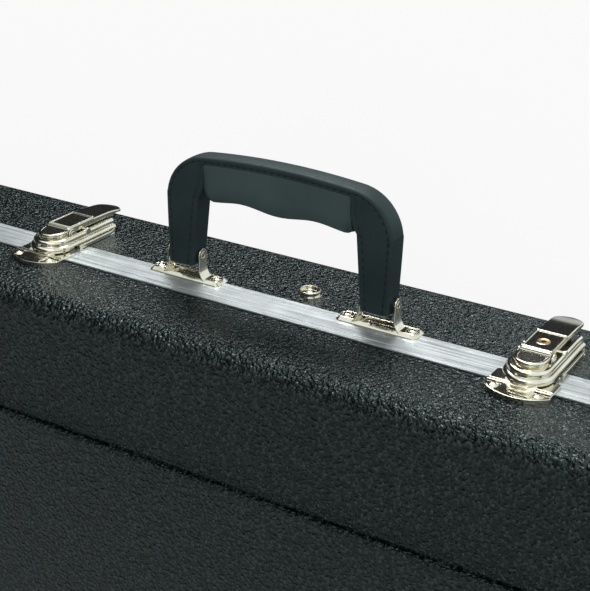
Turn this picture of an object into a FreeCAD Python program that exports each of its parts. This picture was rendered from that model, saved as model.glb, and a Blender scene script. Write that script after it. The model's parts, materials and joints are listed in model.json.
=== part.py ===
import FreeCAD, Part
import math
import os

Vector = FreeCAD.Vector

# The case lies on its base with the lid up. +X points to the body end, -Y to the handle side,
# +Y to the hinge side. Sizes are in millimetres. Depths are measured away from the parting
# plane, where lid and base meet, and heights away from the valance's outer face.

# Moulded halves
CASE_LENGTH = 1270.0
CASE_WIDTH = 430.0
HEAD_WIDTH = 300.0
TAPER_LENGTH = 435.0
BODY_RADIUS = 90.0
HEAD_RADIUS = 60.0
TAPER_RADIUS = 300.0
BASE_DEPTH = 85.0
LID_DEPTH = 68.5
SHELL_T = 2.6
EDGE_RADIUS = 12.5
PANEL_INSET = 83.5
PANEL_RISE = 1.8
PANEL_ROUND = 0.8
GROOVE_WIDTH = 3.2
GROOVE_DEPTH = 1.4
SMALLEST_RADIUS = 12.0
CUT_PAST = 1.0

# Aluminium valance
VALANCE_HEIGHT = 13.0
VALANCE_PROUD = 1.2
VALANCE_INNER_T = 1.4
FIT = 0.1
BASE_WEB = 3.0
LID_WEB = 5.5
TONGUE_INSET = 0.4
TONGUE_T = 1.8
TONGUE_HEIGHT = 2.4
TONGUE_CLEARANCE = 0.5
FLUTE_DEPTH = 0.35
FLUTE_WIDTH = 0.7
FLUTE_DEPTHS = (2.6, 9.2)

# Lid hinges
HINGE_END_MARGIN = 155.0
HINGE_PITCH = 340.0
HINGE_LENGTH = 60.0
HINGE_LEAF_T = 1.4
HINGE_LEAF_REACH = 12.0
HINGE_KNUCKLE_R = 3.5
HINGE_PIN_R = 1.6
HINGE_GAP = 0.3
HINGE_RIVET_PITCH = 40.0
HINGE_RIVET_DEPTH = 8.2

# Rivets
RIVET_SHANK_R = 1.6
RIVET_HEAD_R = 2.9
RIVET_HEAD_H = 1.3

# Handle
HANDLE_X = 95.0
HANDLE_DEPTH = 9.5
HANDLE_T = 15.2
HANDLE_HALF = 77.0
HANDLE_TOP = 86.0
HANDLE_CROWN_R = 490.0
HANDLE_CORNER_R = 23.0
LEG_BOTTOM = 10.8
LEG_INNER_TOP = 54.0
LEG_INNER_BOTTOM = 58.5
GRIP_HALF = 50.0
GRIP_TOP = 79.5
GRIP_LOW = 54.5
GRIP_HIGH = 57.0
GRIP_CUSP = 54.0
GRIP_PROUD = 0.8
HANDLE_ROUND = 2.4
BRACKET_X = 68.0
BRACKET_LENGTH = 53.0
BRACKET_WIDTH = 13.6
BRACKET_T = 2.4
BRACKET_RIVET_X = 21.5
BRACKET_CUP_R = 5.2
BRACKET_CUP_DEPTH = 0.9
BRACKET_WINDOW = (19.0, 8.4)
BRACKET_CORNER_R = 3.0
EAR_X = 11.9
EAR_T = 1.3
EAR_R = 5.2
PIN_HEIGHT = 16.7
HANDLE_PIN_R = 2.0
PIN_HEAD_R = 3.1
PIN_HEAD_T = 1.0
RUNNING_GAP = 0.05
INSERT_WIDTH = 12.0
INSERT_T = 6.4
INSERT_BOTTOM = 8.2
INSERT_TOP = 46.0

# Round rivet cap beside the handle
CAP_X = 9.9
CAP_DEPTH = 29.6
CAP_FLANGE_R = 7.5
CAP_RIM_R = 5.5
CAP_HEIGHT = 3.6
CAP_FLANGE_T = 1.1
CAP_SHANK_R = 2.5

# Draw latches
LATCH_OFFSET = 166.4
TAPER_LATCH_FROM_END = 225.0
END_LATCH_Y = -20.0
LATCH_PLATE_T = 1.6
LATCH_PLATE_HALF = 16.5
LATCH_PLATE_NEAR = 3.0
LATCH_PLATE_SHOULDER = 40.0
LATCH_PLATE_FAR = 50.0
LATCH_PLATE_TIP_HALF = 8.0
LATCH_LIP_T = 1.4
LATCH_LIP_TOP = 3.4
LEVER_PIVOT = (-4.5, 10.3)
BAIL_PIVOT = (-17.5, 9.5)
LEVER_HALF = 9.0
LEVER_WALL_T = 1.3
LEVER_NEAR = -1.5
LEVER_RIDGE = -27.0
LEVER_TOP = 15.0
TAB_CENTRE = -53.0
TAB_DROP = 4.0
LATCH_EAR_X = 9.3
LATCH_EAR_T = 1.0
LATCH_EAR_R = 3.6
LEVER_PIN_R = 1.2
BAIL_PIN_R = 1.0
BAIL_HEAD_R = 1.7
BAIL_HEAD_T = 0.8
BAIL_CENTRE = 4.0
BAIL_CAP_R = 9.0
BAIL_RIM_T = 1.8
BAIL_RIM_TOP = 13.8
BAIL_CAP_TOP = 12.4
BAIL_UPPER_R = 12.2
BAIL_LOWER_R = 14.2
BAIL_WALL_T = 1.4
BAIL_UPPER = (8.0, 9.4)
BAIL_LOWER = (3.8, 5.2)
BAIL_FOOT = 2.2
BAIL_ARM_END = -44.0
CATCH_HALF = 18.5
CATCH_NEAR = 3.0
CATCH_CORNER = 22.5
CATCH_FAR = 31.0
CATCH_POST_TOP = 7.4
CATCH_POST_NEAR = 7.0
CATCH_GAP = 0.5
CATCH_RAMP = (20.0, 27.0, 4.4)
CATCH_RAMP_HALF = 9.0
CATCH_STEP = (19.0, 20.0, 3.0)
CATCH_RIVET = (12.6, 23.4)
LATCH_RIVET_DEPTHS = (31.0, 44.0)
LOCK_A = -14.2
LOCK_PLUG_R = 3.6
LOCK_HOUSING_R = 5.0
LOCK_FLOOR = 4.2
LOCK_PROUD = 0.4
LOCK_CAM_T = 1.2
LOCK_CAM_REACH = 6.0
KEYHOLE = (1.0, 3.4, 1.2)

# Padded inside
LINING_T = 4.0
LINING_GAP = 0.2
LINING_ROUND = 10.5
PAD_TOP = 15.0
PAD_END_WALL = 35.0
PAD_NECK_WALL = 30.0
BODY_CAVITY_LENGTH = 475.0
BODY_CAVITY_WIDTH = 356.0
BODY_CAVITY_RADIUS = 85.0
NECK_SLOT = 76.0
HEAD_PAD_LENGTH = 235.0
HEAD_POCKET_Y = (-52.0, 98.0)
HEAD_POCKET_RADIUS = 25.0
CRADLE_FROM_HEAD_PAD = 240.0
CRADLE_LENGTH = 60.0
CRADLE_HALF = 78.0
CRADLE_NOTCH_R = 31.0
CRADLE_NOTCH_DEPTH = 22.0
BOX_FROM_HEAD_PAD = 60.0
BOX_FROM_BODY_PAD = 25.0
BOX_WIDTH = 66.0
BOX_WALL_GAP = 20.0
BOX_T = 4.0
BOX_LID_T = 5.0
BOX_LID_GAP = 0.4
BOX_KNUCKLE_R = 3.2
BOX_KNUCKLE_LENGTH = 60.0
BOX_PIN_R = 1.5
BOX_TAB = (24.0, 14.0, 1.6)
LID_PAD_SETBACK = 65.0
LID_PAD_LENGTH = 330.0
LID_PAD_HALF = 120.0
LID_PAD_T = 14.0
LID_PAD_ROUND = 6.0
LID_PAD_RADIUS = 40.0

# Places that follow from the sizes above
PARTING = BASE_DEPTH + PANEL_RISE
VALANCE_DEPTH = SHELL_T + FIT + VALANCE_INNER_T
SIDE_Y = -CASE_WIDTH / 2 - VALANCE_PROUD
HINGE_FACE_Y = CASE_WIDTH / 2 + VALANCE_PROUD
HINGE_AXIS_OUT = HINGE_KNUCKLE_R + HINGE_GAP
HINGE_Y = HINGE_FACE_Y + HINGE_AXIS_OUT
WALL_HEIGHT = -VALANCE_PROUD
SHELL_FACE = -VALANCE_PROUD - SHELL_T
VALANCE_BACK = -VALANCE_PROUD - VALANCE_DEPTH
TAPER_X = TAPER_LENGTH - CASE_LENGTH / 2
TAPER_TURN = -math.degrees(math.atan2(CASE_WIDTH - HEAD_WIDTH, TAPER_LENGTH))
TAPER_LATCH_X = TAPER_LATCH_FROM_END - CASE_LENGTH / 2
FIRST_HINGE_X = HINGE_END_MARGIN - CASE_LENGTH / 2
HINGE_XS = (FIRST_HINGE_X, FIRST_HINGE_X + HINGE_PITCH, FIRST_HINGE_X + 2 * HINGE_PITCH,
            -FIRST_HINGE_X)
FLOOR_DEPTH = BASE_DEPTH - SHELL_T - LINING_T
BODY_CAVITY_END = CASE_LENGTH / 2 - PAD_END_WALL
BODY_CAVITY_X = (BODY_CAVITY_END - BODY_CAVITY_LENGTH, BODY_CAVITY_END)
BODY_PAD_X = BODY_CAVITY_X[0] - PAD_NECK_WALL
HEAD_POCKET_X = PAD_END_WALL - CASE_LENGTH / 2
HEAD_PAD_X = HEAD_PAD_LENGTH - CASE_LENGTH / 2
CRADLE_START = HEAD_PAD_X + CRADLE_FROM_HEAD_PAD
CRADLE_X = (CRADLE_START, CRADLE_START + CRADLE_LENGTH)
BOX_X = (HEAD_PAD_X + BOX_FROM_HEAD_PAD, BODY_PAD_X - BOX_FROM_BODY_PAD)
BOX_LENGTH = BOX_X[1] - BOX_X[0]
BOX_BACK = CASE_WIDTH / 2 - SHELL_T - LINING_T - 2 * LINING_GAP - BOX_WALL_GAP
BOX_Y = (BOX_BACK - BOX_WIDTH, BOX_BACK)
LID_PAD_START = BODY_CAVITY_X[0] + LID_PAD_SETBACK
LID_PAD_X = (LID_PAD_START, LID_PAD_START + LID_PAD_LENGTH)
OUTER_X = (CASE_LENGTH / 2 + VALANCE_PROUD + LEVER_TOP, -CASE_LENGTH / 2 - VALANCE_PROUD)
OUTER_Y = (HINGE_Y + HINGE_KNUCKLE_R, SIDE_Y - HANDLE_TOP)
SHIFT = Vector(-sum(OUTER_X) / 2, -sum(OUTER_Y) / 2, 0)


def plan_corners(inset):
    """Corners of the case seen from above, moved inwards by inset, with their radii."""
    end = CASE_LENGTH / 2
    side = CASE_WIDTH / 2
    corners = [
        (end, -side, BODY_RADIUS),
        (end, side, BODY_RADIUS),
        (-end, side, HEAD_RADIUS),
        (-end, side - HEAD_WIDTH, HEAD_RADIUS),
        (TAPER_X, -side, TAPER_RADIUS),
    ]
    points = [Vector(x, y, 0) for x, y, _ in corners]
    count = len(points)
    ahead = [(points[(i + 1) % count] - points[i]).normalize() for i in range(count)]
    inward = [Vector(-d.y, d.x, 0) for d in ahead]
    moved = []
    for i in range(count):
        both = inward[i - 1] + inward[i]
        point = points[i] + both * (inset / (1 + inward[i - 1].dot(inward[i])))
        radius = max(corners[i][2] - inset, SMALLEST_RADIUS)
        moved.append((point, radius, ahead[i - 1], ahead[i]))
    return moved


def outline(inset, z):
    """The case's plan outline as a wire of lines and tangent arcs."""
    arcs = []
    for point, radius, before, after in plan_corners(inset):
        half_turn = before.getAngle(after) / 2
        reach = radius * math.tan(half_turn)
        start = point - before * reach
        end = point + after * reach
        middle_way = (after - before).normalize()
        middle = point + middle_way * (radius / math.cos(half_turn) - radius)
        lift = Vector(0, 0, z)
        arcs.append((start + lift, middle + lift, end + lift))
    edges = []
    for i, (start, middle, end) in enumerate(arcs):
        edges.append(Part.makeLine(arcs[i - 1][2], start))
        edges.append(Part.Arc(start, middle, end).toShape())
    return Part.Wire(edges)


def slab(inset, low, high):
    return Part.Face(outline(inset, low)).extrude(Vector(0, 0, high - low))


def ring(outer_inset, inner_inset, low, high):
    return slab(outer_inset, low, high).cut(slab(inner_inset, low, high))


def edges_at(solid, z):
    """Edges of a solid that lie in the level plane z."""
    return [e for e in solid.Edges if all(abs(v.Z - z) < 1e-4 for v in e.Vertexes)]


def rounded_slab(inset, low, high, radius):
    solid = slab(inset, low, high)
    return solid.makeFillet(radius, edges_at(solid, high))


def box(x, y, z):
    """A box from three (low, high) pairs."""
    return Part.makeBox(x[1] - x[0], y[1] - y[0], z[1] - z[0], Vector(x[0], y[0], z[0]))


def round_box(x, y, z, radius):
    """A box whose four upright edges are rounded."""
    solid = box(x, y, z)
    upright = [e for e in solid.Edges if abs(e.Vertexes[0].Z - e.Vertexes[-1].Z) > 1e-4]
    return solid.makeFillet(radius, upright)


def in_base(shape):
    """Turns a shape drawn by depth into the base, below the parting plane."""
    turned = shape.mirror(Vector(0, 0, 0), Vector(0, 0, 1))
    turned.translate(Vector(0, 0, PARTING))
    return turned


def in_lid(shape):
    moved = shape.copy()
    moved.translate(Vector(0, 0, PARTING))
    return moved


def at(x, a, b):
    """A point of the fitting frame: x along the side, a towards the lid, b outwards."""
    return Vector(x, -b, a)


def wire_through(start, steps):
    """A closed wire. A step is a point, or a (middle, end) pair for an arc."""
    edges = []
    here = start
    for step in list(steps) + [start]:
        if isinstance(step, tuple):
            edges.append(Part.Arc(here, step[0], step[1]).toShape())
            here = step[1]
        elif (step - here).Length > 1e-6:
            edges.append(Part.makeLine(here, step))
            here = step
    return Part.Wire(edges)


def along_x(points, x0, x1):
    """Extrudes a profile of (a, b) points from x0 to x1."""
    corners = [at(x0, a, b) for a, b in points]
    wire = Part.makePolygon(corners + corners[:1])
    return Part.Face(wire).extrude(Vector(x1 - x0, 0, 0))


def pair_along_x(points, x0, x1):
    return along_x(points, x0, x1).fuse(along_x(points, -x1, -x0))


def bar_x(a, b, radius, x0, x1):
    """A round bar along x."""
    return Part.makeCylinder(radius, x1 - x0, at(x0, a, b), Vector(1, 0, 0))


def outward_rod(x, a, b0, b1, radius):
    """A round rod that points outwards from the side."""
    return Part.makeCylinder(radius, b1 - b0, at(x, a, b0), Vector(0, -1, 0))


def plate_b(start, steps, b0, b1):
    """Extrudes a wire drawn at height b0 outwards to height b1."""
    return Part.Face(wire_through(start, steps)).extrude(Vector(0, b0 - b1, 0))


def rivet(x, a, seat, back):
    """A domed rivet whose head sits at height seat and whose shank ends at back."""
    dome_r = (RIVET_HEAD_R ** 2 + RIVET_HEAD_H ** 2) / (2 * RIVET_HEAD_H)
    ball = Part.makeSphere(dome_r, at(x, a, seat + RIVET_HEAD_H - dome_r))
    head = ball.common(outward_rod(x, a, seat, seat + RIVET_HEAD_H, RIVET_HEAD_R))
    shank = outward_rod(x, a, back, seat, RIVET_SHANK_R)
    return head.fuse(shank).removeSplitter()


def shank_hole(x, a, seat, back):
    return outward_rod(x, a, back - FIT, seat + FIT, RIVET_SHANK_R)


def place_on_side(shape, x, y, turn):
    """Moves a shape from the fitting frame to a point of the valance's outer face."""
    moved = shape.copy()
    moved.rotate(Vector(0, 0, 0), Vector(0, 0, 1), turn)
    moved.translate(Vector(x, y, PARTING))
    return moved


def taper_point(x):
    """The point at x on the valance's outer face along the tapered side."""
    slope = math.tan(math.radians(TAPER_TURN))
    y = -CASE_WIDTH / 2 + slope * (x - TAPER_X)
    out = Vector(math.sin(math.radians(TAPER_TURN)), -math.cos(math.radians(TAPER_TURN)), 0)
    return x + out.x * VALANCE_PROUD, y + out.y * VALANCE_PROUD


def latch_places():
    """Name, x, y and turn of every draw latch."""
    taper_x, taper_y = taper_point(TAPER_LATCH_X)
    return [
        ("body_side", HANDLE_X + LATCH_OFFSET, SIDE_Y, 0.0),
        ("locking", HANDLE_X - LATCH_OFFSET, SIDE_Y, 0.0),
        ("neck", taper_x, taper_y, TAPER_TURN),
        ("body_end", CASE_LENGTH / 2 + VALANCE_PROUD, END_LATCH_Y, 90.0),
    ]


def half_shell(depth, web):
    """One moulded half as an open tray, drawn by depth."""
    edge = web + FIT
    panel = PANEL_INSET + GROOVE_WIDTH
    outer = rounded_slab(0, edge, depth, EDGE_RADIUS)
    raised = rounded_slab(panel, depth - SHELL_T, depth + PANEL_RISE, PANEL_ROUND)
    hollow = rounded_slab(SHELL_T, edge - CUT_PAST, depth - SHELL_T, EDGE_RADIUS - SHELL_T)
    pocket = slab(panel + SHELL_T, depth - 2 * SHELL_T, depth - SHELL_T + PANEL_RISE)
    groove = ring(PANEL_INSET, panel, depth - GROOVE_DEPTH, depth + PANEL_RISE)
    return outer.fuse(raised).cut(hollow).cut(pocket).cut(groove).removeSplitter()


def half_valance(web):
    """One extrusion bent round the case, with a slot that holds the moulded wall."""
    body = ring(-VALANCE_PROUD, VALANCE_DEPTH, 0, VALANCE_HEIGHT)
    body = body.cut(ring(-FIT, SHELL_T + FIT, web, VALANCE_HEIGHT))
    for depth in FLUTE_DEPTHS:
        floor = FLUTE_DEPTH - VALANCE_PROUD
        body = body.cut(ring(-VALANCE_PROUD, floor, depth, depth + FLUTE_WIDTH))
    return body


def base_valance():
    tongue = ring(TONGUE_INSET, TONGUE_INSET + TONGUE_T, -TONGUE_HEIGHT, BASE_WEB / 2)
    return half_valance(BASE_WEB).fuse(tongue).removeSplitter()


def lid_valance():
    outer = TONGUE_INSET - TONGUE_CLEARANCE
    inner = TONGUE_INSET + TONGUE_T + TONGUE_CLEARANCE
    return half_valance(LID_WEB).cut(ring(outer, inner, 0, TONGUE_HEIGHT + TONGUE_CLEARANCE))


def lining(depth):
    """A plush-faced pad sheet that lines one half below its valance."""
    start = VALANCE_HEIGHT + FIT
    outside = SHELL_T + LINING_GAP
    floor = depth - SHELL_T
    outer = rounded_slab(outside, start, floor, LINING_ROUND)
    radius = LINING_ROUND - LINING_T
    inner = rounded_slab(outside + LINING_T, start - CUT_PAST, floor - LINING_T, radius)
    return outer.cut(inner)


def pad_block(x):
    """Foam that fills the base from wall to wall between two x values."""
    inset = SHELL_T + LINING_T + 2 * LINING_GAP
    filled = rounded_slab(inset, PAD_TOP, FLOOR_DEPTH, LINING_ROUND)
    return filled.common(box(x, (-CASE_WIDTH, CASE_WIDTH), (0, BASE_DEPTH)))


def body_pad():
    """Foam round the instrument's body, open towards the neck."""
    block = pad_block((BODY_PAD_X, CASE_LENGTH))
    half = BODY_CAVITY_WIDTH / 2
    through = (PAD_TOP - CUT_PAST, FLOOR_DEPTH + CUT_PAST)
    cavity = round_box(BODY_CAVITY_X, (-half, half), through, BODY_CAVITY_RADIUS)
    slot_x = (BODY_PAD_X - CUT_PAST, BODY_CAVITY_X[0] + BODY_CAVITY_RADIUS)
    slot = box(slot_x, (-NECK_SLOT / 2, NECK_SLOT / 2), through)
    return block.cut(cavity).cut(slot)


def head_pad():
    """Foam round the headstock, open towards the neck."""
    block = pad_block((-CASE_LENGTH, HEAD_PAD_X))
    through = (PAD_TOP - CUT_PAST, FLOOR_DEPTH + CUT_PAST)
    pocket_x = (HEAD_POCKET_X, HEAD_PAD_X + 2 * HEAD_POCKET_RADIUS)
    pocket = round_box(pocket_x, HEAD_POCKET_Y, through, HEAD_POCKET_RADIUS)
    return block.cut(pocket)


def neck_cradle():
    """A foam block with a round notch that carries the neck."""
    block = box(CRADLE_X, (-CRADLE_HALF, CRADLE_HALF), (PAD_TOP, FLOOR_DEPTH))
    start = Vector(CRADLE_X[0], 0, PAD_TOP + CRADLE_NOTCH_DEPTH - CRADLE_NOTCH_R)
    notch = Part.makeCylinder(CRADLE_NOTCH_R, CRADLE_LENGTH, start, Vector(1, 0, 0))
    notch_width = (-CRADLE_NOTCH_R, CRADLE_NOTCH_R)
    mouth = box(CRADLE_X, notch_width, (start.z - CRADLE_NOTCH_R, start.z))
    return block.cut(notch).cut(mouth)


def box_axis():
    """Height and y of the accessory box's hinge line, drawn by depth."""
    return PAD_TOP + BOX_LID_T + BOX_LID_GAP / 2, BOX_Y[1] + BOX_KNUCKLE_R


def box_knuckles(ends):
    """Knuckles of the accessory box: the two at the ends, or the one between them."""
    depth, y = box_axis()
    length = BOX_KNUCKLE_LENGTH
    spans = [(BOX_X[0], BOX_X[0] + length), (BOX_X[1] - length, BOX_X[1])]
    if not ends:
        spans = [(BOX_X[0] + length + BOX_LID_GAP, BOX_X[1] - length - BOX_LID_GAP)]
    result = []
    for low, high in spans:
        start = Vector(low, y, depth)
        result.append(Part.makeCylinder(BOX_KNUCKLE_R, high - low, start, Vector(1, 0, 0)))
    return result


def box_pin():
    depth, y = box_axis()
    start = Vector(BOX_X[0], y, depth)
    return Part.makeCylinder(BOX_PIN_R, BOX_LENGTH, start, Vector(1, 0, 0))


def box_bore(gap):
    depth, y = box_axis()
    start = Vector(BOX_X[0] - CUT_PAST, y, depth)
    length = BOX_LENGTH + 2 * CUT_PAST
    return Part.makeCylinder(BOX_PIN_R + gap, length, start, Vector(1, 0, 0))


def accessory_box():
    """An open tray beside the neck with knuckles along its back edge."""
    top = PAD_TOP + BOX_LID_T + BOX_LID_GAP
    outer = box(BOX_X, BOX_Y, (top, FLOOR_DEPTH))
    inner_x = (BOX_X[0] + BOX_T, BOX_X[1] - BOX_T)
    inner_y = (BOX_Y[0] + BOX_T, BOX_Y[1] - BOX_T)
    tray = outer.cut(box(inner_x, inner_y, (top, FLOOR_DEPTH - BOX_T)))
    depth, y = box_axis()
    corner = Vector(BOX_X[0], y, depth)
    reach = BOX_KNUCKLE_R + BOX_LID_GAP
    sweep = Part.makeCylinder(reach, BOX_LENGTH, corner, Vector(1, 0, 0))
    tray = tray.cut(sweep)
    for knuckle in box_knuckles(True):
        span = (knuckle.BoundBox.XMin, knuckle.BoundBox.XMax)
        web = box(span, (BOX_Y[1] - BOX_T, y), (depth, depth + 2 * BOX_KNUCKLE_R))
        tray = tray.fuse(knuckle).fuse(web)
    return tray.cut(box_bore(0)).removeSplitter()


def accessory_box_lid():
    """A flat lid with one long knuckle, which turns about the box's pin."""
    depth, y = box_axis()
    lid = box(BOX_X, (BOX_Y[0], BOX_Y[1] - BOX_LID_GAP), (PAD_TOP, PAD_TOP + BOX_LID_T))
    reach = BOX_KNUCKLE_R + BOX_LID_GAP
    for knuckle in box_knuckles(True):
        span = (knuckle.BoundBox.XMin - BOX_LID_GAP, knuckle.BoundBox.XMax + BOX_LID_GAP)
        lid = lid.cut(box(span, (y - reach, y + reach), (0, FLOOR_DEPTH)))
    for knuckle in box_knuckles(False):
        span = (knuckle.BoundBox.XMin, knuckle.BoundBox.XMax)
        web = box(span, (BOX_Y[1] - BOX_T, y), (PAD_TOP, PAD_TOP + BOX_LID_T))
        lid = lid.fuse(knuckle).fuse(web)
    return lid.cut(box_bore(RUNNING_GAP)).removeSplitter()


def accessory_box_tab():
    """A pull ribbon sewn to the front edge of the accessory box's lid."""
    middle = sum(BOX_X) / 2
    half = BOX_TAB[0] / 2
    y = (BOX_Y[0] - BOX_TAB[2], BOX_Y[0])
    return box((middle - half, middle + half), y, (PAD_TOP, PAD_TOP + BOX_TAB[1]))


def lid_pad():
    """A cushion on the lid's lining that presses on the instrument's body."""
    depth = LID_DEPTH - SHELL_T - LINING_T
    y = (-LID_PAD_HALF, LID_PAD_HALF)
    cushion = round_box(LID_PAD_X, y, (depth - LID_PAD_T, depth), LID_PAD_RADIUS)
    return cushion.makeFillet(LID_PAD_ROUND, edges_at(cushion, depth - LID_PAD_T))


def hinge_leaf(own_middle):
    """A leaf in the hinge frame: a towards its own half, b outwards from the valance."""
    half = HINGE_LENGTH / 2
    third = HINGE_LENGTH / 6
    inner_reach = HINGE_KNUCKLE_R + HINGE_GAP
    plate = along_x([(inner_reach, 0), (HINGE_LEAF_REACH, 0),
                     (HINGE_LEAF_REACH, HINGE_LEAF_T), (inner_reach, HINGE_LEAF_T)],
                    -half, half)
    spans = [(-half, -third - HINGE_GAP), (third + HINGE_GAP, half)]
    if own_middle:
        spans = [(-third, third)]
    leaf = plate
    for low, high in spans:
        knuckle = bar_x(0, HINGE_AXIS_OUT, HINGE_KNUCKLE_R, low, high)
        tail = along_x([(0, HINGE_GAP), (HINGE_LEAF_REACH, HINGE_GAP),
                        (HINGE_LEAF_REACH, HINGE_LEAF_T), (0, HINGE_LEAF_T)], low, high)
        leaf = leaf.fuse(knuckle).fuse(tail)
    gap = RUNNING_GAP if own_middle else 0
    leaf = leaf.cut(bar_x(0, HINGE_AXIS_OUT, HINGE_PIN_R + gap, -half, half))
    for x in hinge_rivet_xs():
        leaf = leaf.cut(shank_hole(x, HINGE_RIVET_DEPTH, HINGE_LEAF_T, 0))
    return leaf.removeSplitter()


def hinge_rivet_xs():
    return (-HINGE_RIVET_PITCH / 2, HINGE_RIVET_PITCH / 2)


def hinge_pin():
    half = HINGE_LENGTH / 2
    return bar_x(0, HINGE_AXIS_OUT, HINGE_PIN_R, -half, half)


def on_hinge_side(shape, x):
    return place_on_side(shape, x, HINGE_FACE_Y, 180.0)


def flipped(shape):
    """Mirrors a fitting across the parting plane, from the lid's side to the base's."""
    return shape.mirror(Vector(0, 0, 0), Vector(0, 0, 1))


def handle_plane(x, height):
    """A point of the handle's middle plane: x along the side, height outwards."""
    return at(x, -HANDLE_DEPTH, height)


def handle_slab(start, steps, thickness):
    wire = wire_through(start, steps)
    solid = Part.Face(wire).extrude(Vector(0, 0, thickness))
    solid.translate(Vector(0, 0, -thickness / 2))
    return solid


def grip_underside():
    """Steps along the grip's scalloped underside from +x to -x."""
    quarter = GRIP_HALF / 2
    return [
        (handle_plane(quarter, GRIP_HIGH), handle_plane(0, GRIP_CUSP)),
        (handle_plane(-quarter, GRIP_HIGH), handle_plane(-GRIP_HALF, GRIP_LOW)),
    ]


def handle_grip():
    """The wrapped palm grip between the handle's two shoulders."""
    start = handle_plane(GRIP_HALF, GRIP_LOW)
    steps = grip_underside()
    steps.append(handle_plane(-GRIP_HALF, GRIP_TOP))
    steps.append(handle_plane(GRIP_HALF, GRIP_TOP))
    solid = handle_slab(start, steps, HANDLE_T + 2 * GRIP_PROUD)
    low = [e for e in solid.Edges if all(-v.Y < GRIP_HIGH for v in e.Vertexes)]
    long_low = [e for e in low if e.Length > GRIP_HALF / 2]
    return solid.makeFillet(HANDLE_ROUND, long_low)


def shoulder_points():
    """Height, middle and end of the corner arc, which is tangent to the leg and the crown."""
    centre_x = HANDLE_HALF - HANDLE_CORNER_R
    crown_y = HANDLE_TOP - HANDLE_CROWN_R
    between = HANDLE_CROWN_R - HANDLE_CORNER_R
    centre_y = crown_y + math.sqrt(between ** 2 - centre_x ** 2)
    turn = math.atan2(centre_y - crown_y, centre_x)
    middle = (centre_x + HANDLE_CORNER_R * math.cos(turn / 2),
              centre_y + HANDLE_CORNER_R * math.sin(turn / 2))
    end = (centre_x + HANDLE_CORNER_R * math.cos(turn),
           centre_y + HANDLE_CORNER_R * math.sin(turn))
    return centre_y, middle, end


def handle_arch():
    """The moulded arch: two legs, two shoulders and the band along the top."""
    shoulder, middle, end = shoulder_points()
    side = HANDLE_HALF
    start = handle_plane(side, LEG_BOTTOM)
    steps = [
        handle_plane(side, shoulder),
        (handle_plane(*middle), handle_plane(*end)),
        (handle_plane(0, HANDLE_TOP), handle_plane(-end[0], end[1])),
        (handle_plane(-middle[0], middle[1]), handle_plane(-side, shoulder)),
        handle_plane(-side, LEG_BOTTOM),
        handle_plane(-LEG_INNER_BOTTOM, LEG_BOTTOM),
        handle_plane(-LEG_INNER_TOP, GRIP_HIGH),
        handle_plane(-GRIP_HALF, GRIP_HIGH + LEG_INNER_TOP - GRIP_HALF),
        handle_plane(-GRIP_HALF, GRIP_TOP),
        handle_plane(GRIP_HALF, GRIP_TOP),
        handle_plane(GRIP_HALF, GRIP_HIGH + LEG_INNER_TOP - GRIP_HALF),
        handle_plane(LEG_INNER_TOP, GRIP_HIGH),
        handle_plane(LEG_INNER_BOTTOM, LEG_BOTTOM),
    ]
    solid = handle_slab(start, steps, HANDLE_T)
    solid = solid.makeFillet(HANDLE_ROUND, rim_edges(solid))
    for side_sign in (-1, 1):
        solid = solid.cut(insert_block(side_sign))
        solid = solid.cut(pin_bore(side_sign, RUNNING_GAP))
    return solid


def rim_edges(solid):
    """The arch's outer rim on both faces, where the cover is turned over."""
    chosen = []
    for edge in solid.Edges:
        level = abs(edge.Vertexes[0].Z - edge.Vertexes[-1].Z) < 1e-4
        outside = all(abs(abs(v.X) - HANDLE_HALF) < 1e-4 or -v.Y > GRIP_TOP + 1e-4
                      for v in edge.Vertexes)
        if level and outside:
            chosen.append(edge)
    return chosen


def insert_block(side_sign):
    """The steel tongue inside one leg."""
    x = side_sign * BRACKET_X
    half = INSERT_WIDTH / 2
    low = at(x - half, -HANDLE_DEPTH - INSERT_T / 2, INSERT_TOP)
    return Part.makeBox(INSERT_WIDTH, INSERT_TOP - INSERT_BOTTOM, INSERT_T, low)


def pin_bore(side_sign, gap):
    x = side_sign * BRACKET_X
    reach = EAR_X + EAR_T
    return bar_x(-HANDLE_DEPTH, PIN_HEIGHT, HANDLE_PIN_R + gap, x - reach, x + reach)


def handle_insert(side_sign):
    return insert_block(side_sign).cut(pin_bore(side_sign, RUNNING_GAP))


def handle_pin(side_sign):
    """A headed pin through both ears of one bracket."""
    x = side_sign * BRACKET_X
    reach = EAR_X + EAR_T
    pin = pin_bore(side_sign, 0)
    for low in (x - reach - PIN_HEAD_T, x + reach):
        pin = pin.fuse(bar_x(-HANDLE_DEPTH, PIN_HEIGHT, PIN_HEAD_R, low, low + PIN_HEAD_T))
    return pin.removeSplitter()


def bracket_rivet_xs():
    return (-BRACKET_RIVET_X, BRACKET_RIVET_X)


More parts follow.
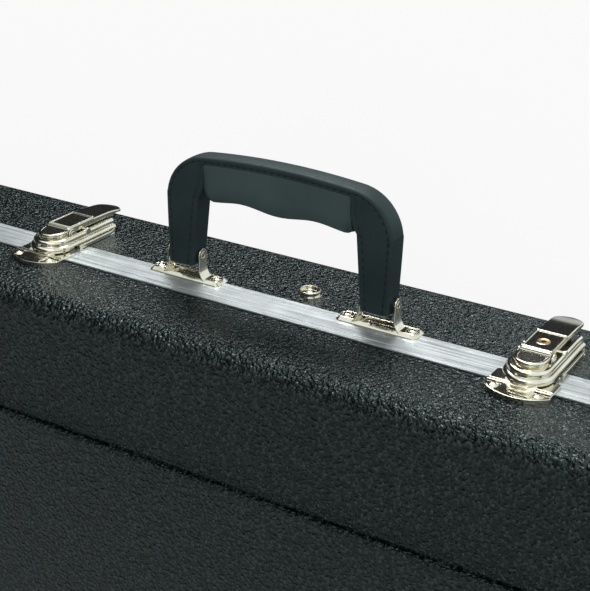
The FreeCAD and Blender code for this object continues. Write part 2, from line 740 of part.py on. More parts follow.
def handle_bracket():
    """A nickel plate with cupped ends and two upright ears."""
    half = BRACKET_LENGTH / 2
    wide = BRACKET_WIDTH / 2
    low = at(-half, -HANDLE_DEPTH - wide, BRACKET_T)
    plate = Part.makeBox(BRACKET_LENGTH, BRACKET_T, BRACKET_WIDTH, low)
    corners = [e for e in plate.Edges if abs(e.Vertexes[0].Y - e.Vertexes[-1].Y) > 1e-4]
    plate = plate.makeFillet(BRACKET_CORNER_R, corners)
    window_x, window_a = BRACKET_WINDOW
    start = at(-window_x / 2, -HANDLE_DEPTH - window_a / 2, BRACKET_T)
    plate = plate.cut(Part.makeBox(window_x, BRACKET_T, window_a, start))
    seat = BRACKET_T - BRACKET_CUP_DEPTH
    for x in bracket_rivet_xs():
        plate = plate.cut(outward_rod(x, -HANDLE_DEPTH, seat, BRACKET_T, BRACKET_CUP_R))
        plate = plate.cut(shank_hole(x, -HANDLE_DEPTH, seat, 0))
    ear = [(-HANDLE_DEPTH - EAR_R, 0), (-HANDLE_DEPTH + EAR_R, 0),
           (-HANDLE_DEPTH + EAR_R, PIN_HEIGHT), (-HANDLE_DEPTH - EAR_R, PIN_HEIGHT)]
    ears = pair_along_x(ear, EAR_X, EAR_X + EAR_T)
    for x in (-EAR_X - EAR_T, EAR_X):
        ears = ears.fuse(bar_x(-HANDLE_DEPTH, PIN_HEIGHT, EAR_R, x, x + EAR_T))
    bracket = plate.fuse(ears)
    reach = EAR_X + EAR_T
    bore = bar_x(-HANDLE_DEPTH, PIN_HEIGHT, HANDLE_PIN_R, -reach, reach)
    return bracket.cut(bore).removeSplitter()


def bracket_rivets():
    seat = BRACKET_T - BRACKET_CUP_DEPTH
    return [rivet(x, -HANDLE_DEPTH, seat, VALANCE_BACK) for x in bracket_rivet_xs()]


def rivet_cap():
    """The round nickel cap on the base's side, with a rolled rim and a dimple."""
    seat = WALL_HEIGHT
    top = seat + CAP_HEIGHT
    flange = outward_rod(0, 0, seat, seat + CAP_FLANGE_T, CAP_FLANGE_R)
    drum = outward_rod(0, 0, seat, top, CAP_RIM_R)
    drum = drum.makeFillet(CAP_RIM_R / 4, [e for e in drum.Edges if e.Vertexes[0].Y < -top + 1e-4
                                           and len(e.Vertexes) == 1])
    dimple = Part.makeSphere(CAP_RIM_R, at(0, 0, top + CAP_RIM_R * 0.75))
    shank = outward_rod(0, 0, SHELL_FACE, seat, CAP_SHANK_R)
    return flange.fuse(drum).cut(dimple).fuse(shank).removeSplitter()


def latch_plate():
    """The latch's riveted plate with side lips and the ears that carry the lever."""
    half = LATCH_PLATE_HALF
    tip = LATCH_PLATE_TIP_HALF
    corners = [(-half, -LATCH_PLATE_NEAR), (half, -LATCH_PLATE_NEAR),
               (half, -LATCH_PLATE_SHOULDER), (tip, -LATCH_PLATE_FAR),
               (-tip, -LATCH_PLATE_FAR), (-half, -LATCH_PLATE_SHOULDER)]
    points = [at(x, a, 0) for x, a in corners]
    plate = plate_b(points[0], points[1:], 0, LATCH_PLATE_T)
    foot_points = [at(x, min(a, -VALANCE_HEIGHT - FIT), WALL_HEIGHT) for x, a in corners]
    foot = plate_b(foot_points[0], foot_points[1:], WALL_HEIGHT, 0)
    lip = [(-LATCH_PLATE_NEAR, 0), (-LATCH_PLATE_SHOULDER, 0),
           (-LATCH_PLATE_SHOULDER, LATCH_LIP_TOP), (-LATCH_PLATE_NEAR, LATCH_LIP_TOP)]
    lips = pair_along_x(lip, half - LATCH_LIP_T, half)
    pivot_a, pivot_b = LEVER_PIVOT
    stem = [(pivot_a - LATCH_EAR_R, 0), (pivot_a + LATCH_EAR_R, 0),
            (pivot_a + LATCH_EAR_R, pivot_b), (pivot_a - LATCH_EAR_R, pivot_b)]
    reach = LATCH_EAR_X + LATCH_EAR_T
    ears = pair_along_x(stem, LATCH_EAR_X, reach)
    for x in (-reach, LATCH_EAR_X):
        ears = ears.fuse(bar_x(pivot_a, pivot_b, LATCH_EAR_R, x, x + LATCH_EAR_T))
    whole = plate.fuse(foot).fuse(lips).fuse(ears)
    whole = whole.cut(bar_x(pivot_a, pivot_b, LEVER_PIN_R, -reach, reach))
    for depth in LATCH_RIVET_DEPTHS:
        whole = whole.cut(shank_hole(0, -depth, LATCH_PLATE_T, WALL_HEIGHT))
    return whole.removeSplitter()


def latch_rivets():
    return [rivet(0, -depth, LATCH_PLATE_T, SHELL_FACE) for depth in LATCH_RIVET_DEPTHS]


def lever_pin():
    """The lever's pivot pin, held by the latch plate's ears."""
    reach = LATCH_EAR_X + LATCH_EAR_T
    return bar_x(LEVER_PIVOT[0], LEVER_PIVOT[1], LEVER_PIN_R, -reach, reach)


def bail_pins():
    """Two headed stubs that the lever's walls carry and the bail turns on."""
    inside = LEVER_HALF - LEVER_WALL_T
    stubs = []
    for low, high, head in ((-BAIL_UPPER_R, -inside, -inside),
                            (inside, BAIL_UPPER_R, inside - BAIL_HEAD_T)):
        stub = bar_x(BAIL_PIVOT[0], BAIL_PIVOT[1], BAIL_PIN_R, low, high)
        cap = bar_x(BAIL_PIVOT[0], BAIL_PIVOT[1], BAIL_HEAD_R, head, head + BAIL_HEAD_T)
        stubs.append(stub.fuse(cap).removeSplitter())
    return gather(stubs)


def tab_end():
    return TAB_CENTRE - LEVER_HALF


def lever_plan(half):
    """The lever seen from outside, as wide as half and round at the tab's end."""
    start = at(-half, LEVER_NEAR, 0)
    steps = [at(half, LEVER_NEAR, 0), at(half, TAB_CENTRE, 0),
             (at(0, TAB_CENTRE - half, 0), at(-half, TAB_CENTRE, 0))]
    return plate_b(start, steps, 0, 2 * LEVER_TOP)


def latch_lever():
    """A folded lever: a flat panel, a sloping round-ended tab and two side walls."""
    tab_top = LEVER_TOP - TAB_DROP
    wall = LEVER_WALL_T
    low = LEVER_PIVOT[1] - LATCH_EAR_R
    outer = [(LEVER_NEAR, low), (LEVER_NEAR, LEVER_TOP), (LEVER_RIDGE, LEVER_TOP),
             (tab_end(), tab_top), (tab_end(), tab_top - wall),
             (TAB_CENTRE, tab_top - 2 * wall), (LEVER_RIDGE, low)]
    inner = [(0, 0), (0, LEVER_TOP - wall), (LEVER_RIDGE, LEVER_TOP - wall),
             (tab_end() - CUT_PAST, tab_top - wall), (tab_end() - CUT_PAST, 0)]
    half = LEVER_HALF
    hollow = along_x(inner, -half + wall, half - wall)
    lever = along_x(outer, -half, half).cut(hollow).common(lever_plan(half))
    tip = edges_on_top(lever)
    lever = lever.makeFillet(wall / 2, tip)
    pin_hole = bar_x(LEVER_PIVOT[0], LEVER_PIVOT[1], LEVER_PIN_R + RUNNING_GAP, -half, half)
    return lever.cut(pin_hole).cut(bar_x(BAIL_PIVOT[0], BAIL_PIVOT[1], BAIL_PIN_R, -half, half))


def edges_on_top(lever):
    """The lever panel's two long outer edges."""
    return [e for e in lever.Edges
            if all(abs(-v.Y - LEVER_TOP) < 1e-4 and abs(abs(v.X) - LEVER_HALF) < 1e-4
                   for v in e.Vertexes)]


def nose_plan(radius, back, b0, b1):
    """A plate with straight sides and a round nose, from a = back to the nose."""
    start = at(-radius, back, b0)
    steps = [at(-radius, BAIL_CENTRE, b0),
             (at(0, BAIL_CENTRE + radius, b0), at(radius, BAIL_CENTRE, b0)),
             at(radius, back, b0)]
    return plate_b(start, steps, b0, b1)


def nose_band(outer, inner, back, b0, b1):
    return nose_plan(outer, back, b0, b1).cut(nose_plan(inner, back - CUT_PAST, b0, b1))


def latch_bail():
    """The pressed bail: a rimmed cap, two stepped bands round the nose, and two arms."""
    wall = BAIL_WALL_T
    cap = nose_plan(BAIL_CAP_R, 0, BAIL_UPPER[0], BAIL_RIM_TOP)
    dish = nose_plan(BAIL_CAP_R - BAIL_RIM_T, BAIL_RIM_T, BAIL_CAP_TOP, BAIL_RIM_TOP)
    under = nose_plan(BAIL_CAP_R - wall, -CUT_PAST, 0, BAIL_CAP_TOP - wall)
    end = BAIL_ARM_END
    upper_gap = BAIL_UPPER_R - wall
    bail = nose_band(BAIL_UPPER_R, BAIL_CAP_R - wall, 0, BAIL_UPPER[0], BAIL_UPPER[1])
    bail = bail.fuse(cap).cut(dish).cut(under)
    bail = bail.fuse(nose_band(BAIL_UPPER_R, upper_gap, end, BAIL_LOWER[0], BAIL_UPPER[1]))
    bail = bail.fuse(nose_band(BAIL_LOWER_R, upper_gap, end, BAIL_LOWER[0], BAIL_LOWER[1]))
    hook = nose_band(BAIL_LOWER_R, BAIL_LOWER_R - wall, BAIL_CENTRE, BAIL_FOOT, BAIL_LOWER[1])
    bail = bail.fuse(hook)
    pivot_a, pivot_b = BAIL_PIVOT
    for x in (-BAIL_UPPER_R, upper_gap):
        bail = bail.fuse(bar_x(pivot_a, pivot_b, LATCH_EAR_R / 2 + BAIL_PIN_R, x, x + wall))
    bore = bar_x(pivot_a, pivot_b, BAIL_PIN_R + RUNNING_GAP, -BAIL_UPPER_R, BAIL_UPPER_R)
    return bail.cut(bore).removeSplitter()


def catch_plate():
    """The lid's D-shaped plate with a post that the bail hooks over."""
    half = CATCH_HALF
    start = at(-half, CATCH_NEAR, 0)
    steps = [at(-half, CATCH_CORNER, 0),
             (at(0, CATCH_FAR, 0), at(half, CATCH_CORNER, 0)),
             at(half, CATCH_NEAR, 0)]
    plate = plate_b(start, steps, 0, LATCH_PLATE_T)
    edge = VALANCE_HEIGHT + FIT
    start = at(-half, edge, WALL_HEIGHT)
    steps = [at(-half, CATCH_CORNER, WALL_HEIGHT),
             (at(0, CATCH_FAR, WALL_HEIGHT), at(half, CATCH_CORNER, WALL_HEIGHT)),
             at(half, edge, WALL_HEIGHT)]
    foot = plate_b(start, steps, WALL_HEIGHT, 0)
    post_r = BAIL_UPPER_R - BAIL_WALL_T - CATCH_GAP
    post = nose_plan(post_r, 0, 0, CATCH_POST_TOP)
    post = post.common(box((-half, half), (-LEVER_TOP, 0), (CATCH_POST_NEAR, CATCH_FAR)))
    near, far, top = CATCH_STEP
    step = along_x([(near, 0), (far, 0), (far, top), (near, top)], -half, half)
    near, far, top = CATCH_RAMP
    middle = (near + far) / 2
    ramp_low = LATCH_PLATE_T + (top - LATCH_PLATE_T) / 4
    ramp_wire = wire_through(at(-CATCH_RAMP_HALF, near, 0),
                             [at(-CATCH_RAMP_HALF, near, top),
                              (at(-CATCH_RAMP_HALF, middle, ramp_low),
                               at(-CATCH_RAMP_HALF, far, LATCH_PLATE_T)),
                              at(-CATCH_RAMP_HALF, far, 0)])
    ramp = Part.Face(ramp_wire).extrude(Vector(2 * CATCH_RAMP_HALF, 0, 0))
    whole = plate.fuse(foot).fuse(post).fuse(step).fuse(ramp)
    for x in (-CATCH_RIVET[0], CATCH_RIVET[0]):
        whole = whole.cut(shank_hole(x, CATCH_RIVET[1], LATCH_PLATE_T, WALL_HEIGHT))
    return whole.removeSplitter()


def catch_rivets():
    x, a = CATCH_RIVET
    return [rivet(sign * x, a, LATCH_PLATE_T, SHELL_FACE) for sign in (-1, 1)]


def lock_housing():
    """The lock's barrel under the lever panel, with a bore for the plug."""
    top = LEVER_TOP - LEVER_WALL_T
    barrel = outward_rod(0, LOCK_A, LOCK_FLOOR, top, LOCK_HOUSING_R)
    return barrel.cut(lock_bore())


def lock_bore():
    return outward_rod(0, LOCK_A, 0, LEVER_TOP + LOCK_PROUD, LOCK_PLUG_R + RUNNING_GAP)


def lock_plug():
    """The brass plug with its keyhole, and the cam on its inner end."""
    plug = outward_rod(0, LOCK_A, LOCK_FLOOR, LEVER_TOP + LOCK_PROUD, LOCK_PLUG_R)
    hole_r, slot, depth = KEYHOLE
    floor = LEVER_TOP + LOCK_PROUD - depth
    hole = outward_rod(0, LOCK_A, floor, LEVER_TOP + LOCK_PROUD, hole_r)
    above = LEVER_TOP + LOCK_PROUD + CUT_PAST
    slit = along_x([(LOCK_A - slot / 2, floor), (LOCK_A + slot / 2, floor),
                    (LOCK_A + slot / 2, above), (LOCK_A - slot / 2, above)],
                   -hole_r / 2, hole_r / 2)
    cam_top = LOCK_FLOOR
    cam_low = LOCK_FLOOR - LOCK_CAM_T
    cam = along_x([(LOCK_A - LOCK_PLUG_R, cam_low), (LOCK_A + LOCK_CAM_REACH, cam_low),
                   (LOCK_A + LOCK_CAM_REACH, cam_top), (LOCK_A - LOCK_PLUG_R, cam_top)],
                  -LOCK_PLUG_R, LOCK_PLUG_R)
    return plug.cut(hole).cut(slit).fuse(cam).removeSplitter()


def gather(shapes):
    return Part.makeCompound(shapes)


def side_fittings():
    """Everything on the walls, and the holes that its rivets need."""
    parts = {}
    base_rivets, lid_rivets, holes = [], [], []

    def add_holes(tools, x, y, turn):
        holes.extend(place_on_side(tool, x, y, turn) for tool in tools)

    plate, lever, bail, catch = latch_plate(), latch_lever(), latch_bail(), catch_plate()
    plate_holes = [shank_hole(0, -d, LATCH_PLATE_T, SHELL_FACE) for d in LATCH_RIVET_DEPTHS]
    catch_x, catch_a = CATCH_RIVET
    catch_holes = [shank_hole(sign * catch_x, catch_a, LATCH_PLATE_T, SHELL_FACE)
                   for sign in (-1, 1)]
    lever_pins = []
    for name, x, y, turn in latch_places():
        parts["latch_plate_" + name] = place_on_side(plate, x, y, turn)
        parts["latch_bail_" + name] = place_on_side(bail, x, y, turn)
        parts["catch_plate_" + name] = place_on_side(catch, x, y, turn)
        parts["bail_pins_" + name] = place_on_side(bail_pins(), x, y, turn)
        own_lever = lever
        if name == "locking":
            own_lever = lever.cut(lock_bore())
            parts["lock_housing"] = place_on_side(lock_housing(), x, y, turn)
            parts["lock_plug"] = place_on_side(lock_plug(), x, y, turn)
        parts["latch_lever_" + name] = place_on_side(own_lever, x, y, turn)
        lever_pins.append(place_on_side(lever_pin(), x, y, turn))
        base_rivets += [place_on_side(r, x, y, turn) for r in latch_rivets()]
        lid_rivets += [place_on_side(r, x, y, turn) for r in catch_rivets()]
        add_holes(plate_holes + catch_holes, x, y, turn)
    parts["lever_pins"] = gather(lever_pins)

    bracket = handle_bracket()
    seat = BRACKET_T - BRACKET_CUP_DEPTH
    handle_rivets = []
    for name, sign in (("body_side", 1), ("neck_side", -1)):
        x = HANDLE_X + sign * BRACKET_X
        parts["handle_bracket_" + name] = place_on_side(bracket, x, SIDE_Y, 0)
        parts["handle_insert_" + name] = place_on_side(handle_insert(sign), HANDLE_X, SIDE_Y, 0)
        handle_rivets += [place_on_side(r, x, SIDE_Y, 0) for r in bracket_rivets()]
        tools = [shank_hole(r, -HANDLE_DEPTH, seat, VALANCE_BACK) for r in bracket_rivet_xs()]
        add_holes(tools, x, SIDE_Y, 0)
    parts["handle_rivets"] = gather(handle_rivets)
    pins = [place_on_side(handle_pin(sign), HANDLE_X, SIDE_Y, 0) for sign in (-1, 1)]
    parts["handle_pins"] = gather(pins)
    parts["handle_arch"] = place_on_side(handle_arch(), HANDLE_X, SIDE_Y, 0)
    parts["handle_grip"] = place_on_side(handle_grip(), HANDLE_X, SIDE_Y, 0)

    cap = rivet_cap()
    cap.translate(Vector(0, 0, -CAP_DEPTH))
    parts["rivet_cap"] = place_on_side(cap, HANDLE_X - CAP_X, SIDE_Y, 0)
    tool = outward_rod(0, -CAP_DEPTH, SHELL_FACE - FIT, WALL_HEIGHT + FIT, CAP_SHANK_R)
    add_holes([tool], HANDLE_X - CAP_X, SIDE_Y, 0)

    lid_leaf = hinge_leaf(True)
    base_leaf = flipped(hinge_leaf(False))
    hinge_pins, hinge_rivets = [], []
    rivets = [rivet(x, HINGE_RIVET_DEPTH, HINGE_LEAF_T, VALANCE_BACK) for x in hinge_rivet_xs()]
    tools = [shank_hole(x, HINGE_RIVET_DEPTH, HINGE_LEAF_T, VALANCE_BACK)
             for x in hinge_rivet_xs()]
    for number, x in enumerate(HINGE_XS, 1):
        parts["hinge_lid_leaf_%d" % number] = on_hinge_side(lid_leaf, x)
        parts["hinge_base_leaf_%d" % number] = on_hinge_side(base_leaf, x)
        hinge_pins.append(on_hinge_side(hinge_pin(), x))
        hinge_rivets += [on_hinge_side(flipped(r), x) for r in rivets]
        lid_rivets += [on_hinge_side(r, x) for r in rivets]
        add_holes(tools + [flipped(t) for t in tools], x, HINGE_FACE_Y, 180.0)
    parts["hinge_pins"] = gather(hinge_pins)
    parts["base_rivets"] = gather(base_rivets + hinge_rivets)
    parts["lid_rivets"] = gather(lid_rivets)
    return parts, gather(holes)


def main():
    parts, holes = side_fittings()
    parts["base_shell"] = in_base(half_shell(BASE_DEPTH, BASE_WEB)).cut(holes)
    parts["base_valance"] = in_base(base_valance()).cut(holes)
    parts["lid_shell"] = in_lid(half_shell(LID_DEPTH, LID_WEB)).cut(holes)
    parts["lid_valance"] = in_lid(lid_valance()).cut(holes)
    parts["base_lining"] = in_base(lining(BASE_DEPTH))
    parts["lid_lining"] = in_lid(lining(LID_DEPTH))
    parts["body_pad"] = in_base(body_pad())
    parts["head_pad"] = in_base(head_pad())
    parts["neck_cradle"] = in_base(neck_cradle())
    parts["accessory_box"] = in_base(accessory_box())
    parts["accessory_box_lid"] = in_base(accessory_box_lid())
    parts["accessory_box_pin"] = in_base(box_pin())
    parts["accessory_box_tab"] = in_base(accessory_box_tab())
    parts["lid_pad"] = in_lid(lid_pad())

    os.makedirs("parts", exist_ok=True)
    for name, shape in sorted(parts.items()):
        moved = shape.copy()
        moved.translate(SHIFT)
        moved.exportStep(os.path.join("parts", name + ".step"))
        print(name, "solids", len(moved.Solids), "valid", moved.isValid(),
              "volume_cm3", round(moved.Volume / 1000, 2))


main()
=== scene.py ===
import json
import math

import bmesh
import bpy
import numpy as np
from mathutils import Matrix, Vector

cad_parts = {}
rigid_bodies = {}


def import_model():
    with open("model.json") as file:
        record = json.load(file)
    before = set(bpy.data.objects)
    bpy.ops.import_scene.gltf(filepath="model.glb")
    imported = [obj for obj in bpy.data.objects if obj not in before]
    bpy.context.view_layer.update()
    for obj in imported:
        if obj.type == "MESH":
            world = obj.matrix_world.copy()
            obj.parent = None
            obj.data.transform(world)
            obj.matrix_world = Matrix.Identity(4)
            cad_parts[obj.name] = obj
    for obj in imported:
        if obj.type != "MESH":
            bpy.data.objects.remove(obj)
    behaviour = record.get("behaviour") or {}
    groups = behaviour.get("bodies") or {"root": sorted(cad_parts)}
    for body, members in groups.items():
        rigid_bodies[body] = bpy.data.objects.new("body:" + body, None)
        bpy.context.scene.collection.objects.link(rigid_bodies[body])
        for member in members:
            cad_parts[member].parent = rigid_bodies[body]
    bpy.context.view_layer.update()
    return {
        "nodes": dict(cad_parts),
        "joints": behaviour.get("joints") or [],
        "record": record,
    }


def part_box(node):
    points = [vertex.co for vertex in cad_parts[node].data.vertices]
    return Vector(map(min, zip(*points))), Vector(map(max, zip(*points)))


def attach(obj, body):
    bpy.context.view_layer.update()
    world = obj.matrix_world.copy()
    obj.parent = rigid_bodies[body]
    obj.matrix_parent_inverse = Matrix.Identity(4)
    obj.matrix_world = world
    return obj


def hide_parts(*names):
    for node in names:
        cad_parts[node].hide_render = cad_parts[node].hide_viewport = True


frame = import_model()
NODES = frame["nodes"]
JOINTS = {joint["name"]: joint for joint in frame["joints"]}

# Sizes are in millimetres unless a name says otherwise
MM = 0.001
UP = Vector((0, 0, 1))

# Places in the fitting frame: x along the side, a towards the lid, b outwards from the valance
LEVER_PIVOT = (-4.5, 10.3)
HANDLE_PIVOT = (-9.5, 16.7)
HINGE_AXIS = (0.0, 3.8)


class Fitting:
    """A frame on the case's side, found from the joint whose axis passes through it."""

    def __init__(self, joint, pivot, flip=-1.0):
        self.x = Vector(JOINTS[joint]["axis"]) * flip
        self.out = self.x.cross(UP)
        place = Vector(JOINTS[joint]["pos_m"])
        self.origin = place - (UP * pivot[0] + self.out * pivot[1]) * MM

    def point(self, x, a, b):
        return self.origin + (self.x * x + UP * a + self.out * b) * MM

    def moved(self, x, a=0.0):
        other = Fitting.__new__(Fitting)
        other.x, other.out = self.x, self.out
        other.origin = self.point(x, a, 0)
        return other


HANDLE = Fitting("handle_swing", HANDLE_PIVOT, flip=1.0)
LATCHES = {name: Fitting("lever_%s_lift" % name, LEVER_PIVOT)
           for name in ("body_side", "locking", "neck", "body_end")}


# Camera

FOCAL_PX = 1283.06
PHOTO_WIDTH_PX = 590
SENSOR = 36.0
CAMERA_YAW = math.radians(30.40)
CAMERA_PITCH = math.radians(24.00)
CAMERA_ROLL = math.radians(1.37)
# Right, towards the viewer and up, from the parting line at the middle of the handle
CAMERA_FROM_HANDLE = (368.05, 598.94, 319.84)


def photo_vector(right, near, up):
    """A direction given as the photograph sees the case standing on its hinge side."""
    return Vector((-right, -up, near))


def make_camera():
    flat_right = photo_vector(math.cos(CAMERA_YAW), -math.sin(CAMERA_YAW), 0)
    flat_ahead = photo_vector(-math.sin(CAMERA_YAW), -math.cos(CAMERA_YAW), 0)
    sky = photo_vector(0, 0, 1)
    ahead = math.cos(CAMERA_PITCH) * flat_ahead - math.sin(CAMERA_PITCH) * sky
    above = math.sin(CAMERA_PITCH) * flat_ahead + math.cos(CAMERA_PITCH) * sky
    right = math.cos(CAMERA_ROLL) * flat_right + math.sin(CAMERA_ROLL) * above
    top = math.cos(CAMERA_ROLL) * above - math.sin(CAMERA_ROLL) * flat_right
    data = bpy.data.cameras.new("camera")
    data.sensor_fit = "HORIZONTAL"
    data.sensor_width = SENSOR
    data.lens = FOCAL_PX * SENSOR / PHOTO_WIDTH_PX
    data.clip_start = 0.01
    data.clip_end = 100
    camera = bpy.data.objects.new("camera", data)
    bpy.context.scene.collection.objects.link(camera)
    turn = Matrix((right, top, -ahead)).transposed()
    place = HANDLE.origin + photo_vector(*CAMERA_FROM_HANDLE) * MM
    camera.matrix_world = Matrix.Translation(place) @ turn.to_4x4()
    bpy.context.scene.camera = camera


# Node helpers

def new_material(name):
    material = bpy.data.materials.new(name)
    material.use_nodes = True
    tree = material.node_tree
    return material, tree, tree.nodes["Principled BSDF"]


def node(tree, kind, **settings):
    made = tree.nodes.new(kind)
    for key, value in settings.items():
        setattr(made, key, value)
    return made


def link(tree, source, target):
    tree.links.new(source, target)


def object_coords(tree, scale_per_m):
    """Object coordinates scaled so that one unit is a given real length."""
    coords = node(tree, "ShaderNodeTexCoord")
    mapping = node(tree, "ShaderNodeMapping")
    mapping.inputs["Scale"].default_value = (scale_per_m,) * 3
    link(tree, coords.outputs["Object"], mapping.inputs["Vector"])
    return mapping


def per_cell(size_mm):
    return 1.0 / (size_mm * MM)


def noise_node(tree, vector, scale=1.0, detail=2.0, rough=0.5):
    made = node(tree, "ShaderNodeTexNoise")
    made.inputs["Scale"].default_value = scale
    made.inputs["Detail"].default_value = detail
    made.inputs["Roughness"].default_value = rough
    link(tree, vector, made.inputs["Vector"])
    return made


def map_range(tree, value, low, high, to_low, to_high):
    made = node(tree, "ShaderNodeMapRange")
    for name, number in (("From Min", low), ("From Max", high), ("To Min", to_low), ("To Max", to_high)):
        made.inputs[name].default_value = number
    link(tree, value, made.inputs["Value"])
    return made.outputs["Result"]


def mix_colour(tree, factor, first, second):
    made = node(tree, "ShaderNodeMix", data_type="RGBA")
    made.inputs["A"].default_value = (*first, 1)
    made.inputs["B"].default_value = (*second, 1)
    link(tree, factor, made.inputs["Factor"])
    return made.outputs["Result"]


def bump(tree, shader, height, strength, distance_mm, below=None):
    made = node(tree, "ShaderNodeBump")
    made.inputs["Strength"].default_value = strength
    made.inputs["Distance"].default_value = distance_mm * MM
    link(tree, height, made.inputs["Height"])
    if below is not None:
        link(tree, below.outputs["Normal"], made.inputs["Normal"])
    link(tree, made.outputs["Normal"], shader.inputs["Normal"])
    return made


# Materials

GRAIN_MM = 2.5
# Painted light on the grain: the dark colour is painted shade for the pebble pits, the light one a painted highlight
# for the pebble tops.
ABS_SHADED_PITS = (0.0015, 0.0028, 0.003)
ABS_LIT_TOPS = (0.030, 0.042, 0.043)


def moulded_plastic():
    """Black plastic with a pebble grain from the mould, its pits painted darker as shade and its pebble tops painted
    lighter as highlight.
    """
    material, tree, shader = new_material("moulded_plastic")
    coords = object_coords(tree, per_cell(GRAIN_MM))
    warp = noise_node(tree, coords.outputs["Vector"], 0.9, 2.0)
    warped = node(tree, "ShaderNodeVectorMath", operation="MULTIPLY_ADD")
    link(tree, warp.outputs["Color"], warped.inputs[0])
    warped.inputs[1].default_value = (1.3, 1.3, 1.3)
    link(tree, coords.outputs["Vector"], warped.inputs[2])
    cells = node(tree, "ShaderNodeTexVoronoi", feature="SMOOTH_F1")
    cells.inputs["Scale"].default_value = 1.0
    cells.inputs["Smoothness"].default_value = 0.25
    link(tree, warped.outputs["Vector"], cells.inputs["Vector"])
    fine = noise_node(tree, coords.outputs["Vector"], 1.3, 1.0, 0.5)
    pebble = map_range(tree, cells.outputs["Distance"], 0.1, 0.75, 1.0, 0.0)
    height = node(tree, "ShaderNodeMath", operation="MULTIPLY_ADD")
    link(tree, fine.outputs["Fac"], height.inputs[0])
    height.inputs[1].default_value = 1.2
    link(tree, pebble, height.inputs[2])
    bump(tree, shader, height.outputs["Value"], 1.0, 0.85)
    # The colour follows the grain's height: painted shade in the pits, painted highlight on the pebble tops.
    tone = map_range(tree, height.outputs["Value"], 0.95, 1.45, 0.0, 1.0)
    link(tree, mix_colour(tree, tone, ABS_SHADED_PITS, ABS_LIT_TOPS), shader.inputs["Base Color"])
    gloss = map_range(tree, height.outputs["Value"], 0.7, 1.5, 0.24, 0.14)
    link(tree, gloss, shader.inputs["Roughness"])
    shader.inputs["Specular IOR Level"].default_value = 0.48
    shader.inputs["Specular Tint"].default_value = (0.8, 1.0, 1.0, 1)
    return material


def drawn_aluminium():
    """Satin extrusion with long die lines and slight clouding."""
    material, tree, shader = new_material("drawn_aluminium")
    coords = node(tree, "ShaderNodeTexCoord")
    mapping = node(tree, "ShaderNodeMapping")
    mapping.inputs["Scale"].default_value = (per_cell(90), per_cell(90), per_cell(1.7))
    link(tree, coords.outputs["Object"], mapping.inputs["Vector"])
    lines = noise_node(tree, mapping.outputs["Vector"], 1.0, 4.0, 0.6)
    cloud_coords = object_coords(tree, per_cell(22))
    clouds = noise_node(tree, cloud_coords.outputs["Vector"], 1.0, 2.0)
    tone = node(tree, "ShaderNodeMath", operation="MULTIPLY_ADD")
    link(tree, clouds.outputs["Fac"], tone.inputs[0])
    tone.inputs[1].default_value = 0.5
    link(tree, lines.outputs["Fac"], tone.inputs[2])
    blend = map_range(tree, tone.outputs["Value"], 0.55, 0.95, 0.0, 1.0)
    link(tree, mix_colour(tree, blend, (0.38, 0.42, 0.43), (0.75, 0.80, 0.81)),
         shader.inputs["Base Color"])
    link(tree, map_range(tree, lines.outputs["Fac"], 0.3, 0.7, 0.36, 0.5), shader.inputs["Roughness"])
    bump(tree, shader, lines.outputs["Fac"], 0.25, 0.05)
    shader.inputs["Metallic"].default_value = 0.6
    return material


def plated_metal(name, light, dark, low_rough, high_rough, wave=0.05):
    """Bright plating with faint pressing waves and fine handling marks."""
    material, tree, shader = new_material(name)
    coords = object_coords(tree, per_cell(9.0))
    waves = noise_node(tree, coords.outputs["Vector"], 1.0, 1.5)
    marks = noise_node(tree, coords.outputs["Vector"], 14.0, 3.0, 0.65)
    tone = map_range(tree, waves.outputs["Fac"], 0.35, 0.7, 0.0, 1.0)
    link(tree, mix_colour(tree, tone, light, dark), shader.inputs["Base Color"])
    link(tree, map_range(tree, marks.outputs["Fac"], 0.35, 0.75, low_rough, high_rough),
         shader.inputs["Roughness"])
    bump(tree, shader, waves.outputs["Fac"], wave, 0.5)
    shader.inputs["Metallic"].default_value = 1.0
    return material


def leather_cover(name, dark, light):
    """Satin leather-look cover with a fine grain, rubbed lighter here and there."""
    material, tree, shader = new_material(name)
    coords = object_coords(tree, per_cell(0.8))
    cells = node(tree, "ShaderNodeTexVoronoi", feature="DISTANCE_TO_EDGE")
    cells.inputs["Scale"].default_value = 1.0
    link(tree, coords.outputs["Vector"], cells.inputs["Vector"])
    creases = noise_node(tree, coords.outputs["Vector"], 0.25, 4.0, 0.6)
    height = node(tree, "ShaderNodeMath", operation="MULTIPLY_ADD")
    link(tree, map_range(tree, cells.outputs["Distance"], 0.0, 0.25, 0.0, 1.0), height.inputs[0])
    height.inputs[1].default_value = 0.35
    link(tree, creases.outputs["Fac"], height.inputs[2])
    bump(tree, shader, height.outputs["Value"], 0.35, 0.12)
    broad = noise_node(tree, object_coords(tree, per_cell(25)).outputs["Vector"], 1.0, 3.0)
    tone = map_range(tree, broad.outputs["Fac"], 0.3, 0.7, 0.0, 1.0)
    link(tree, mix_colour(tree, tone, dark, light),
         shader.inputs["Base Color"])
    link(tree, map_range(tree, creases.outputs["Fac"], 0.3, 0.7, 0.5, 0.62), shader.inputs["Roughness"])
    shader.inputs["Specular IOR Level"].default_value = 0.3
    return material


def thread():
    material, tree, shader = new_material("stitch_thread")
    coords = object_coords(tree, per_cell(0.35))
    twist = noise_node(tree, coords.outputs["Vector"], 1.0, 2.0)
    bump(tree, shader, twist.outputs["Fac"], 0.5, 0.1)
    tone = map_range(tree, twist.outputs["Fac"], 0.3, 0.7, 0.0, 1.0)
    link(tree, mix_colour(tree, tone, (0.004, 0.005, 0.0055), (0.009, 0.011, 0.012)),
         shader.inputs["Base Color"])
    shader.inputs["Roughness"].default_value = 0.8
    return material


